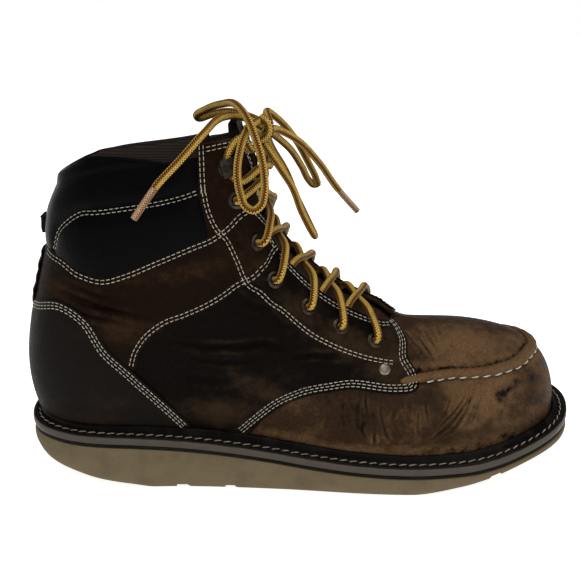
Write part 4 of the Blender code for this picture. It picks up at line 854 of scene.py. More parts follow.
def leather_grain() -> bpy.types.NodeTree:
    """Group: the height of a leather's pores, wrinkles and soft unevenness."""
    def build(n: Nodes, ins: dict) -> dict:
        """Link the group's nodes from its inputs."""
        place = ins["Place"]
        bent = n.add("ShaderNodeVectorMath", {0: n.add("ShaderNodeTexNoise", {
            "Vector": place, "Scale": 260.0, "Detail": 2.0}).outputs[1], 1: (0.0016, 0.0016, 0.0016)},
            operation="MULTIPLY").outputs[0]
        moved = n.add("ShaderNodeVectorMath", {0: place, 1: bent}, operation="ADD").outputs[0]
        pores = n.add("ShaderNodeTexVoronoi", {"Vector": moved, "Scale": ins["Pores"]},
                      feature="DISTANCE_TO_EDGE").outputs[0]
        pores = n.ramp(pores, 0.0, 0.22)
        fine = n.noise(place, 2600.0, 2.0)
        soft = n.noise(place, 110.0, 3.0)
        wrinkle = n.add("ShaderNodeTexVoronoi", {"Vector": moved, "Scale": 330.0},
                        feature="DISTANCE_TO_EDGE").outputs[0]
        wrinkle = n.times(n.ramp(wrinkle, 0.0, 0.14), ins["Wrinkles"])
        total = n.plus(n.times(pores, 0.30), n.times(fine, 0.25))
        total = n.plus(total, n.times(soft, 0.55))
        return {"Height": n.plus(total, wrinkle)}

    return group("leather grain", {"Place": (VECTOR, None), "Pores": (FLOAT, 1100.0), "Wrinkles": (FLOAT, 0.0)},
                 {"Height": FLOAT}, build)


def used_leather() -> bpy.types.NodeTree:
    """Group: colour and gloss of oiled leather from its worn and dirty patches, with the painted shade and painted
    highlights that come in with them.
    """
    def build(n: Nodes, ins: dict) -> dict:
        """Link the group's nodes from its inputs."""
        place = ins["Place"]
        cloud = n.noise(place, 42.0, 5.0, 0.6)
        mottle = n.noise(place, 190.0, 4.0, 0.65)
        speck = n.noise(place, 900.0, 3.0, 0.7)
        scratch_place = n.add("ShaderNodeMapping", {"Vector": place, "Rotation": (0.2, 0.5, 0.6),
                                                    "Scale": (1.0, 9.0, 2.2)}).outputs[0]
        scratch = n.noise(scratch_place, 210.0, 3.0, 0.6)
        uneven = n.plus(n.times(n.less(cloud, 0.47), 2.0),
                        n.times(n.less(mottle, 0.5), 1.7))
        # The worn share also carries the painted crest highlights stored with the wear.
        worn = n.plus(ins["Worn"], n.times(uneven, ins["Patchy"]))
        worn = n.ramp(worn, 0.12, 0.92)
        rubbed = n.times(n.ramp(scratch, 0.60, 0.78), ins["Scratches"])
        worn = n.plus(worn, rubbed, clamp=True)
        ragged = n.times(n.less(mottle, 0.5), 2.3)
        ragged = n.plus(n.times(uneven, 0.5), ragged)
        # The dark share also carries the painted shade of crease hollows and seam troughs.
        soiled_and_shaded = n.plus(ins["Soiled"], n.times(ragged, n.ramp(ins["Soiled"], 0.02, 0.6)))
        soiled_and_shaded = n.ramp(soiled_and_shaded, 0.08, 1.12)
        colour = n.mix(worn, ins["Base"], ins["Light"])
        colour = n.mix(soiled_and_shaded, colour, ins["Dark"])
        tint = n.ramp(speck, 0.25, 0.75)
        colour = n.mix(n.times(n.less(1.0, tint), 0.34), colour, ins["Dark"])
        rough = n.plus(ins["Gloss"], n.times(n.less(mottle, 0.5), 0.35))
        rough = n.plus(rough, n.times(worn, 0.12))
        return {"Colour": colour, "Roughness": rough}

    return group("used leather", {
        "Place": (VECTOR, None), "Base": (COLOUR, (0.05, 0.03, 0.02, 1)), "Light": (COLOUR, (0.15, 0.09, 0.05, 1)),
        "Dark": (COLOUR, (0.01, 0.008, 0.006, 1)), "Worn": (FLOAT, 0.0), "Soiled": (FLOAT, 0.0),
        "Patchy": (FLOAT, 0.5), "Scratches": (FLOAT, 0.2), "Gloss": (FLOAT, 0.5)},
        {"Colour": COLOUR, "Roughness": FLOAT}, build)


def cloth_weave() -> bpy.types.NodeTree:
    """Group: height and mask of an open woven cloth."""
    def build(n: Nodes, ins: dict) -> dict:
        """Link the group's nodes from its inputs."""
        split = n.add("ShaderNodeSeparateXYZ", {0: ins["Place"]})
        total = None
        for a, b in ((0, 2), (1, 2)):
            turned = n.plus(split.outputs[a], n.times(split.outputs[b], 0.6))
            wave = n.math("SINE", n.times(turned, ins["Threads"]))
            total = wave if total is None else n.times(total, wave)
        cross = n.math("SINE", n.times(split.outputs[2], ins["Threads"]))
        height = n.plus(n.times(total, 0.5), n.times(cross, 0.5))
        return {"Height": height, "Mask": n.ramp(height, -0.4, 0.5)}

    return group("cloth weave", {"Place": (VECTOR, None), "Threads": (FLOAT, 5200.0)},
                 {"Height": FLOAT, "Mask": FLOAT}, build)


def dust_film() -> bpy.types.NodeTree:
    """Group: a colour with dust and scuffs laid over it."""
    def build(n: Nodes, ins: dict) -> dict:
        """Link the group's nodes from its inputs."""
        cloud = n.noise(ins["Place"], 70.0, 6.0, 0.65)
        speck = n.noise(ins["Place"], 620.0, 4.0, 0.7)
        mask = n.plus(n.ramp(cloud, 0.40, 0.75), n.times(n.ramp(speck, 0.52, 0.80), 0.6))
        mask = n.times(mask, ins["Amount"], clamp=True)
        return {"Colour": n.mix(mask, ins["Colour"], ins["Dust"]), "Mask": mask}

    return group("dust film", {"Place": (VECTOR, None), "Colour": (COLOUR, (0.1, 0.1, 0.1, 1)),
                               "Dust": (COLOUR, (0.2, 0.17, 0.13, 1)), "Amount": (FLOAT, 0.4)},
                 {"Colour": COLOUR, "Mask": FLOAT}, build)


class Weave(Enum):
    """Kinds of thread work."""

    LINING = "lining"
    LACE = "lace"
    THREAD = "thread"


@dataclass(frozen=True)
class Finish:
    """A finish with one plain colour as its start."""

    name: str
    colour: tuple[float, float, float]
    roughness: float = 0.5
    gleam: float = 0.10

    def material(self) -> bpy.types.Material:
        """The finish as a material, made once."""
        made = bpy.data.materials.get(self.name)
        if made:
            return made
        made = bpy.data.materials.new(self.name)
        made.use_nodes = True
        shader = made.node_tree.nodes["Principled BSDF"]
        shader.inputs["Base Color"].default_value = (*self.colour, 1.0)
        shader.inputs["Roughness"].default_value = self.roughness
        shader.inputs["Specular IOR Level"].default_value = self.gleam
        made.diffuse_color = (*self.colour, 1.0)
        self.build(Nodes(made.node_tree), shader)
        return made

    def build(self, n: Nodes, shader: bpy.types.Node) -> None:
        """Link the finish's own pattern to the shader."""

    def bump(self, n: Nodes, shader: bpy.types.Node, height: bpy.types.NodeSocket, depth: float) -> None:
        """Let a height, in shares of a depth in metres, bend the light."""
        node = n.add("ShaderNodeBump", {"Height": height, "Distance": depth, "Strength": 1.0})
        n.link(node.outputs[0], shader.inputs["Normal"])


@dataclass(frozen=True)
class Leather(Finish):
    """Oiled or polished leather with wear and dirt, painted shade in its creases and seam troughs, painted
    highlights on crease crests and a darker border with a painted shadow line.
    """

    light: tuple[float, float, float] = (0.15, 0.09, 0.05)
    dark: tuple[float, float, float] = (0.010, 0.008, 0.006)
    patchy: float = 0.5
    scratches: float = 0.15
    grain: float = 0.00022
    pores: float = 1100.0
    wrinkles: float = 0.10
    coat: float = 0.0

    def build(self, n: Nodes, shader: bpy.types.Node) -> None:
        """Colour, gloss and grain of the leather."""
        place = n.place()
        node = n.add("ShaderNodeGroup", node_tree=used_leather())
        for label, value in (("Base", (*self.colour, 1)), ("Light", (*self.light, 1)), ("Dark", (*self.dark, 1)),
                             ("Patchy", self.patchy), ("Scratches", self.scratches), ("Gloss", self.roughness)):
            node.inputs[label].default_value = value
        n.link(place, node.inputs["Place"])
        n.link(n.attribute("wear"), node.inputs["Worn"])
        n.link(n.attribute("soil"), node.inputs["Soiled"])
        # Darker border: the panel's dark cut edge together with a painted shadow line along it.
        edge = n.ramp(n.attribute("edge"), 0.55, 1.0)
        colour = n.mix(n.times(edge, 0.65), node.outputs["Colour"], (*self.dark, 1))
        n.link(colour, shader.inputs["Base Color"])
        n.link(node.outputs["Roughness"], shader.inputs["Roughness"])
        shader.inputs["Coat Weight"].default_value = self.coat
        shader.inputs["Coat Roughness"].default_value = 0.35
        grain = n.add("ShaderNodeGroup", {"Place": place, "Pores": self.pores, "Wrinkles": self.wrinkles},
                      node_tree=leather_grain())
        self.bump(n, shader, grain.outputs["Height"], self.grain)


@dataclass(frozen=True)
class Rubber(Finish):
    """Moulded rubber with dust and bands of colour across its run."""

    dust: tuple[float, float, float] = (0.14, 0.12, 0.09)
    amount: float = 0.5
    bands: tuple[tuple[float, tuple[float, float, float]], ...] = ()

    def build(self, n: Nodes, shader: bpy.types.Node) -> None:
        """Colour bands, dust and a fine skin."""
        place = n.place()
        colour: object = (*self.colour, 1)
        if self.bands:
            _, across = n.uv()
            wobble = n.times(n.less(n.noise(place, 240.0, 4.0), 0.5), 0.10)
            ramp = n.add("ShaderNodeValToRGB", {0: n.plus(across, wobble)})
            elements = ramp.color_ramp.elements
            while len(elements) < len(self.bands):
                elements.new(0.5)
            for element, (spot, tone) in zip(elements, self.bands):
                element.position = spot
                element.color = (*tone, 1)
            colour = ramp.outputs[0]
        film = n.add("ShaderNodeGroup", {"Place": place, "Colour": colour, "Dust": (*self.dust, 1),
                                         "Amount": self.amount}, node_tree=dust_film())
        n.link(film.outputs["Colour"], shader.inputs["Base Color"])
        rough = n.plus(n.times(film.outputs["Mask"], 0.25), self.roughness, clamp=True)
        n.link(rough, shader.inputs["Roughness"])
        skin = n.plus(n.times(n.noise(place, 900.0, 3.0), 0.6), n.noise(place, 160.0, 4.0))
        self.bump(n, shader, skin, 0.00025)


@dataclass(frozen=True)
class Threads(Finish):
    """Lace, stitches or woven lining."""

    kind: Weave = Weave.THREAD
    second: tuple[float, float, float] = (0.05, 0.02, 0.01)

    def build(self, n: Nodes, shader: bpy.types.Node) -> None:
        """The pattern of the threads, with painted shade in the low places of the lace's knit."""
        place = n.place()
        if self.kind is Weave.LACE:
            along, around = n.uv()
            teeth = n.math("SINE", n.times(along, 2 * math.pi / (1.3 * MM)))
            stripe = n.math("SINE", n.plus(n.times(around, 6 * math.pi),
                                           n.times(teeth, 0.75)))
            mask = n.ramp(stripe, 0.05, 0.45)
            colour = n.mix(mask, (*self.colour, 1), (*self.second, 1))
            ways = [n.math("SINE", n.math(kind, n.times(along, 2 * math.pi / (1.3 * MM)),
                                          n.times(around, 12 * math.pi))) for kind in ("ADD", "SUBTRACT")]
            knit = n.times(n.plus(*ways), 0.5)
            # Painted shade: the knit's low places are darkened toward dark brown.
            colour = n.mix(n.times(n.ramp(knit, 0.25, -0.70), 0.72), colour, (0.036, 0.020, 0.005, 1))
            colour = n.mix(n.times(n.ramp(n.noise(place, 240.0, 3.0), 0.45, 0.75), 0.30), colour,
                           (0.10, 0.055, 0.02, 1))
            n.link(colour, shader.inputs["Base Color"])
            self.bump(n, shader, knit, 0.00035)
        elif self.kind is Weave.LINING:
            weave = n.add("ShaderNodeGroup", {"Place": place}, node_tree=cloth_weave())
            colour = n.mix(weave.outputs["Mask"], (*self.second, 1), (*self.colour, 1))
            n.link(colour, shader.inputs["Base Color"])
            self.bump(n, shader, weave.outputs["Height"], 0.0003)
        else:
            grey = n.noise(place, 700.0, 3.0)
            colour = n.mix(n.ramp(grey, 0.35, 0.75), (*self.colour, 1), (*self.second, 1))
            n.link(colour, shader.inputs["Base Color"])
            self.bump(n, shader, n.noise(place, 4200.0, 2.0), 0.00012)
        shader.inputs["Sheen Weight"].default_value = 0.02


@dataclass(frozen=True)
class Metal(Finish):
    """Antique metal in noisy patches of dark and rubbed metal."""

    rubbed: tuple[float, float, float] = (0.25, 0.20, 0.15)

    def build(self, n: Nodes, shader: bpy.types.Node) -> None:
        """Patches of dark and rubbed metal."""
        place = n.place()
        mask = n.ramp(n.noise(place, 210.0, 5.0, 0.7), 0.35, 0.75)
        n.link(n.mix(mask, (*self.colour, 1), (*self.rubbed, 1)), shader.inputs["Base Color"])
        shader.inputs["Metallic"].default_value = 0.85
        rough = n.plus(n.times(mask, -0.12), self.roughness)
        n.link(rough, shader.inputs["Roughness"])
        self.bump(n, shader, n.noise(place, 1500.0, 3.0), 0.00006)


VAMP = Leather("oiled vamp leather", (0.034, 0.0165, 0.0072), 0.50, 0.05, light=(0.150, 0.083, 0.038),
               dark=(0.0050, 0.0034, 0.0024), patchy=0.62, scratches=0.30, wrinkles=0.55, grain=0.00060)
SADDLE = Leather("dark saddle leather", (0.0034, 0.0021, 0.0014), 0.46, 0.025, light=(0.042, 0.024, 0.012),
                 dark=(0.0012, 0.0010, 0.0009), patchy=0.42, scratches=0.12, wrinkles=0.35, grain=0.00045)
ANKLE = Leather("brown ankle leather", (0.0088, 0.0040, 0.0017), 0.50, 0.025, light=(0.034, 0.0175, 0.0080),
                dark=(0.0018, 0.0012, 0.0008), patchy=0.60, scratches=0.16, wrinkles=0.40, grain=0.00045)
COUNTER = Leather("dark counter leather", (0.0072, 0.0053, 0.0044), 0.45, 0.025, light=(0.0200, 0.0120, 0.0075),
                  dark=(0.0020, 0.0015, 0.0012), patchy=0.45, scratches=0.10, wrinkles=0.20, grain=0.00030)
FACING = Leather("brown facing leather", (0.0105, 0.0044, 0.0016), 0.52, 0.025, light=(0.040, 0.0210, 0.0100),
                 dark=(0.0025, 0.0015, 0.0010), patchy=0.55, scratches=0.14, wrinkles=0.35, grain=0.00045)
COLLAR = Leather("black collar leather", (0.0006, 0.0006, 0.0008), 0.33, 0.032, light=(0.0030, 0.0030, 0.0034),
                 dark=(0.0008, 0.0008, 0.0008), patchy=0.25, scratches=0.03, grain=0.00016, pores=1900.0,
                 wrinkles=0.02)
TONGUE = Leather("red brown tongue leather", (0.040, 0.018, 0.009), 0.58, 0.05, light=(0.090, 0.046, 0.024),
                 dark=(0.0040, 0.0026, 0.0020), patchy=0.5, scratches=0.1, wrinkles=0.4, grain=0.00040)
STRAP = Leather("rumpled strap leather", (0.0100, 0.0050, 0.0025), 0.55, 0.04, light=(0.034, 0.018, 0.010),
                dark=(0.0020, 0.0012, 0.0010), patchy=0.5, wrinkles=0.6, grain=0.00050)
WEDGE = Rubber("olive wedge rubber", (0.122, 0.094, 0.052), 0.72, 0.10, dust=(0.062, 0.046, 0.028), amount=0.42)
MIDSOLE = Rubber("black midsole rubber", (0.0050, 0.0042, 0.0036), 0.60, 0.05, dust=(0.03, 0.025, 0.02), amount=0.3)
WELT = Rubber("welt rubber", (0.02, 0.018, 0.015), 0.32, 0.04, dust=(0.030, 0.024, 0.020), amount=0.30, bands=(
    (0.00, (0.0040, 0.0034, 0.0030)), (0.06, (0.058, 0.047, 0.038)), (0.30, (0.074, 0.061, 0.050)),
    (0.36, (0.0040, 0.0030, 0.0026)), (0.52, (0.0050, 0.0040, 0.0034)), (0.60, (0.0026, 0.0018, 0.0016)),
    (0.80, (0.0016, 0.0010, 0.0009)), (1.00, (0.0018, 0.0012, 0.0010))))
INSOLE = Rubber("insole cloth board", (0.012, 0.010, 0.008), 0.85, 0.05, dust=(0.03, 0.027, 0.024), amount=0.4)
LINING = Threads("brown mesh lining", (0.022, 0.0150, 0.0125), 0.85, 0.03, kind=Weave.LINING,
                 second=(0.0110, 0.0075, 0.0062))
CREAM = Threads("cream thread", (0.43, 0.40, 0.33), 0.75, 0.05, kind=Weave.THREAD, second=(0.26, 0.22, 0.16))
WELT_THREAD = Threads("dusty welt thread", (0.30, 0.255, 0.19), 0.80, 0.05, kind=Weave.THREAD,
                      second=(0.15, 0.125, 0.095))
DARK_THREAD = Threads("dark seam thread", (0.028, 0.015, 0.008), 0.80, 0.05, kind=Weave.THREAD,
                      second=(0.012, 0.007, 0.004))
LACE = Threads("gold and brown lace", (0.60, 0.385, 0.070), 0.55, 0.06, kind=Weave.LACE,
               second=(0.105, 0.026, 0.004))
TIP_FILM = Threads("clear lace tip", (0.52, 0.33, 0.17), 0.25, 0.30, kind=Weave.LACE, second=(0.30, 0.13, 0.06))
TAB = Threads("dark green tab cloth", (0.010, 0.014, 0.006), 0.85, 0.04, kind=Weave.LINING,
              second=(0.002, 0.003, 0.002))
BRASS = Metal("antique metal", (0.012, 0.009, 0.007), 0.42, 0.3, rubbed=(0.070, 0.052, 0.038))
WORN_METAL = Metal("worn bright metal", (0.10, 0.080, 0.06), 0.40, 0.4, rubbed=(0.30, 0.245, 0.19))


# Sizes that every class shares
GAP = 0.3 * MM
SEAT = 0.45 * MM
WALL = 2.4 * MM
LACE_WIDTH = 4.0 * MM
PANEL_TOPS = {"saddle": 1.5 * MM, "ankle": 2.0 * MM, "counter": 2.5 * MM, "facing": 2.0 * MM}


def edge_share(points: Array, reach: float) -> Array:
    """1 at the border of a grid of points, falling to 0 a reach inside it."""
    gaps = []
    for axis in (0, 1):
        step = np.linalg.norm(np.diff(points, axis=axis), axis=-1)
        run = np.cumsum(step, axis=axis)
        zero = np.zeros_like(np.take(run, [0], axis=axis))
        run = np.concatenate([zero, run], axis=axis)
        gaps += [run, np.take(run, [-1], axis=axis) - run]
    return np.clip(1 - np.min(gaps, axis=0) / reach, 0, 1)


def leather_marks(made: bpy.types.Object, u: Array, v: Array, edge: Array, wear: object = 0.0,
                  soil: object = 0.0) -> None:
    """Store wear, soil and border shares at a piece's points.

    Args:
        made: the piece; its points are in the order of u and v.
        u: stations.
        v: shares of the way up.
        edge: border share.
        wear: more wear than the patches give.
        soil: more dirt and painted shade than the patches give.
    """
    hollow, crest_highlight = RELIEF.folds(u, v)
    # Painted highlights on the crests beside the creases go into the worn share, painted shade in the crease
    # hollows into the dark share.
    set_attribute(made, "wear", np.clip(spot_mask(u, v, WEAR) + wear + 0.30 * crest_highlight, 0, 1))
    set_attribute(made, "soil", np.clip(spot_mask(u, v, SOIL) + soil + 0.62 * hollow, 0, 1))
    set_attribute(made, "edge", edge)


@dataclass
class Upper:
    """The hollow leather shell with its moc seam: vamp, plug and lining side."""

    fine_step: float = 0.025
    coarse_step: float = 0.125
    fine_from: float = 4.6
    rows_low: int = 58
    rows_seam: int = 26
    rows_high: int = 26
    rows_inside: int = 12
    roll_height: float = 2.6 * MM
    roll_half: float = 3.0 * MM
    gather_pitch: float = 6.6 * MM

    def columns(self) -> Array:
        """Stations of the columns, the same on both sides."""
        half = np.concatenate([np.arange(0, self.fine_from, self.coarse_step),
                               np.linspace(self.fine_from, TIP, int((TIP - self.fine_from) / self.fine_step) + 1)])
        return np.concatenate([half, LOOP - half[-2:0:-1]])

    def rows(self, u: Array) -> Array:
        """Shares of the way up of each column's outer points."""
        seam, _ = FORM.seam(u)
        band = 5.4 * MM / FORM.span(u, seam)
        found = []
        for s, b in zip(seam, band):
            found.append(np.concatenate([
                np.linspace(0, s - b, self.rows_low, endpoint=False),
                np.linspace(s - b, s + b, self.rows_seam, endpoint=False),
                np.linspace(s + b, 1, self.rows_high)]))
        return np.array(found)

    def seam_relief(self, u: Array, v: Array) -> tuple[Array, Array, Array]:
        """Heights, wear and painted shade in the troughs that the rolled seam adds.

        Args:
            u: stations, columns by rows.
            Heights, more wear, more painted shade in the troughs.
        Returns:
            Heights, more wear, more soil.
        """
        seam, ridge = FORM.seam(u)
        offset = (v - seam) * FORM.span(u, seam)
        line = FORM.surface(u[:, 0], FORM.seam(u[:, 0])[0])
        run = run_along(line)[:, None]
        pucker = 0.5 + 0.5 * np.sin(2 * math.pi * run / self.gather_pitch)
        roll = np.clip(1 - (offset / self.roll_half) ** 2, 0, 1) ** 0.62
        roll = roll * (1 - 0.06 * pucker)
        inner = np.exp(-(((offset - 3.9 * MM) / (0.9 * MM)) ** 2))
        scallop = np.exp(-(((offset - 5.2 * MM) / (1.4 * MM)) ** 2)) * pucker
        outer = np.exp(-(((offset + 3.5 * MM) / (0.7 * MM)) ** 2))
        height = ridge * (self.roll_height * roll - (0.55 * inner + 0.45 * scallop + 0.40 * outer) * MM)
        wear = ridge * (0.35 * roll + 0.25 * np.exp(-((offset / (9 * MM)) ** 2)))
        # Painted shade: the troughs beside the roll and between its gathers are darkened.
        soil = ridge * (0.55 * inner + 0.35 * scallop + 0.40 * outer)
        return height, wear, soil

    def build(self) -> None:
        """Shell with a real wall, in vamp leather outside and lining inside."""
        columns = self.columns()
        rows = self.rows(columns)
        u = np.repeat(columns[:, None], rows.shape[1], 1)
        rise, wear, soil = self.seam_relief(u, rows)
        outside = FORM.lifted(u, rows, rise + RELIEF.height(u, rows))
        inner_rows = np.repeat(np.linspace(0, 1, self.rows_inside)[None], len(columns), 0)
        inner_u = np.repeat(columns[:, None], self.rows_inside, 1)
        inside = FORM.lifted(inner_u, inner_rows, -WALL * np.ones_like(inner_u))
        inside[:, 0] = FORM.foot(columns) - FORM.outward(columns) * WALL
        count, high, low = len(columns), rows.shape[1], self.rows_inside
        faces = grid_faces(count, high, closed=True)
        outer_faces = len(faces)
        start = count * high
        faces += [tuple(reversed(f)) for f in grid_faces(count, low, closed=True, start=start)]
        half = np.minimum(columns, LOOP - columns)
        for i in range(count):
            k = (i + 1) % count
            faces.append((i * high, start + i * low, start + k * low, k * high))
            if not (half[i] >= CLOSED_FROM - 1e-9 and half[k] >= CLOSED_FROM - 1e-9):
                faces.append((i * high + high - 1, k * high + high - 1, start + k * low + low - 1,
                              start + i * low + low - 1))
        made = boot_mesh("upper_shell", np.concatenate([outside.reshape(-1, 3), inside.reshape(-1, 3)]), faces)
        all_u = np.concatenate([u.ravel(), inner_u.ravel()])
        all_v = np.concatenate([rows.ravel(), inner_rows.ravel()])
        pad = np.zeros(inner_u.size)
        leather_marks(made, all_u, all_v, np.zeros(len(all_u)), np.concatenate([wear.ravel(), pad]),
                      np.concatenate([soil.ravel(), pad]))
        dressed(made, VAMP, LINING)
        slots = np.zeros(len(faces), np.int32)
        slots[outer_faces:outer_faces + len(grid_faces(count, low, closed=True))] = 1
        made.data.polygons.foreach_set("material_index", slots)
        recalculated(made)
        made.data.shade_smooth()
        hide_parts("upper")


@dataclass
class Panels:
    """The leather pieces laid on the shell: saddles, ankle panel, facings, counter, strap."""

    thick: float = 1.3 * MM
    foot: float = 0.036
    bevel: float = 0.32 * MM
    strap_fold: float = 0.55 * MM

    def patch(self, name: str, finish: Finish, node: str, first: Sequence[Place],
              second: Sequence[Place], top: float, shape: tuple[int, int],
              extra: Optional[Callable[[Array, Array], Array]] = None, soil: float = 0.0) -> bpy.types.Object:
        """A panel between two lines on the leather.

        Args:
            name: the piece's name.
            finish: its leather.
            node: the CAD node it replaces.
            first: line along one side.
            second: line along the other side.
            top: height of its face over the form.
            shape: points along and across.
            extra: more height at places, for folds of its own.
            soil: darkening all over.
        Returns:
            The piece.
        """
        a = place_line(first, shape[0])
        b = place_line(second, shape[0])
        t = np.linspace(0, 1, shape[1])[None, :, None]
        grid = a[:, None] * (1 - t) + b[:, None] * t
        u, v = grid[..., 0], np.clip(grid[..., 1], 0.0, 1.0)
        height = top + RELIEF.height(u, v)
        if extra:
            height = height + extra(u, v)
        points = FORM.lifted(u, v, height)
        # The border share rolls the edge down and darkens the border colour, which includes a painted shadow line.
        edge = edge_share(points, 3.2 * MM)
        points = points - FORM.normal(u, v) * (0.22 * MM * edge**3)[..., None]
        faces = grid_faces(*shape)
        mid = (shape[0] // 2, shape[1] // 2)
        turn = np.cross(points[mid[0] + 1, mid[1]] - points[mid], points[mid[0], mid[1] + 1] - points[mid])
        if turn @ FORM.normal(u[mid], v[mid]) < 0:
            faces = [tuple(reversed(f)) for f in faces]
        made = boot_mesh(name, points, faces)
        leather_marks(made, u, v, edge, 0.0, soil)
        recalculated(made, 0.02 * MM, turn=False)
        applied(made, "SOLIDIFY", thickness=self.thick, offset=-1.0)
        rounded(made, self.bevel)
        dressed(made, finish)
        smoothed(made, 50)
        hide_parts(node)
        return made

    def folds(self, u: Array, v: Array) -> Array:
        """Crumpled folds of the back strap."""
        wave = np.sin(v * 120 + 2.2 * np.sin(u * 5.0)) + 0.6 * np.sin(v * 71 + u * 9.0 + 1.0)
        return self.strap_fold * 0.5 * wave

    def build(self) -> None:
        """All panels of both sides."""
        low = self.foot
        lower_counter = [p for p in COUNTER_EDGE if p[0] >= 2.6]
        saddle_back = [(3.30, low)] + [(u, v) for u, v in lower_counter[::-1][1:-1]] + SADDLE_TOP
        saddle_front = [(3.96, low)] + SADDLE_EDGE
        under_counter = FORM.shifted([p for p in COUNTER_EDGE if p[0] <= 2.6], -4 * MM)
        under_counter[0] = (0.0, under_counter[0][1])
        ankle_low = under_counter + ANKLE_FOOT[1:]
        facing_low = FORM.shifted(FACING_FOOT, -4 * MM)
        counter_foot = [(-3.42, low), (-1.7, low), (0.0, low), (1.7, low), (3.42, low)]
        counter_top = mirrored(COUNTER_LINE[1:]) + COUNTER_LINE
        for side, turn in (("lateral", list), ("medial", other_side)):
            self.patch(f"saddle_skin_{side}", SADDLE, f"saddle_{side}", turn(saddle_back),
                       turn(saddle_front), PANEL_TOPS["saddle"], (170, 110))
            self.patch(f"facing_skin_{side}", FACING, f"facing_{side}", turn(FACING_EDGE),
                       turn(facing_low), PANEL_TOPS["facing"], (52, 40))
        self.patch("ankle_skin", ANKLE, "ankle_panel", mirrored(ankle_low[1:]) + ankle_low,
                   mirrored(ANKLE_TOP[1:]) + ANKLE_TOP, PANEL_TOPS["ankle"], (380, 56))
        self.patch("counter_skin", COUNTER, "counter", counter_foot, counter_top,
                   PANEL_TOPS["counter"], (230, 56))
        self.patch("back_strap_skin", STRAP, "back_strap",
                   [(-0.50, 0.525), (0.0, 0.525), (0.50, 0.525)],
                   [(-0.42, 0.735), (0.0, 0.735), (0.42, 0.735)], 3.6 * MM, (40, 44), self.folds)


class Row(NamedTuple):
    """A row of stitches: its line, its rows' offsets and its height over the form."""

    line: Sequence[Place]
    offsets: Sequence[float]
    height: Callable[[Array], Array]


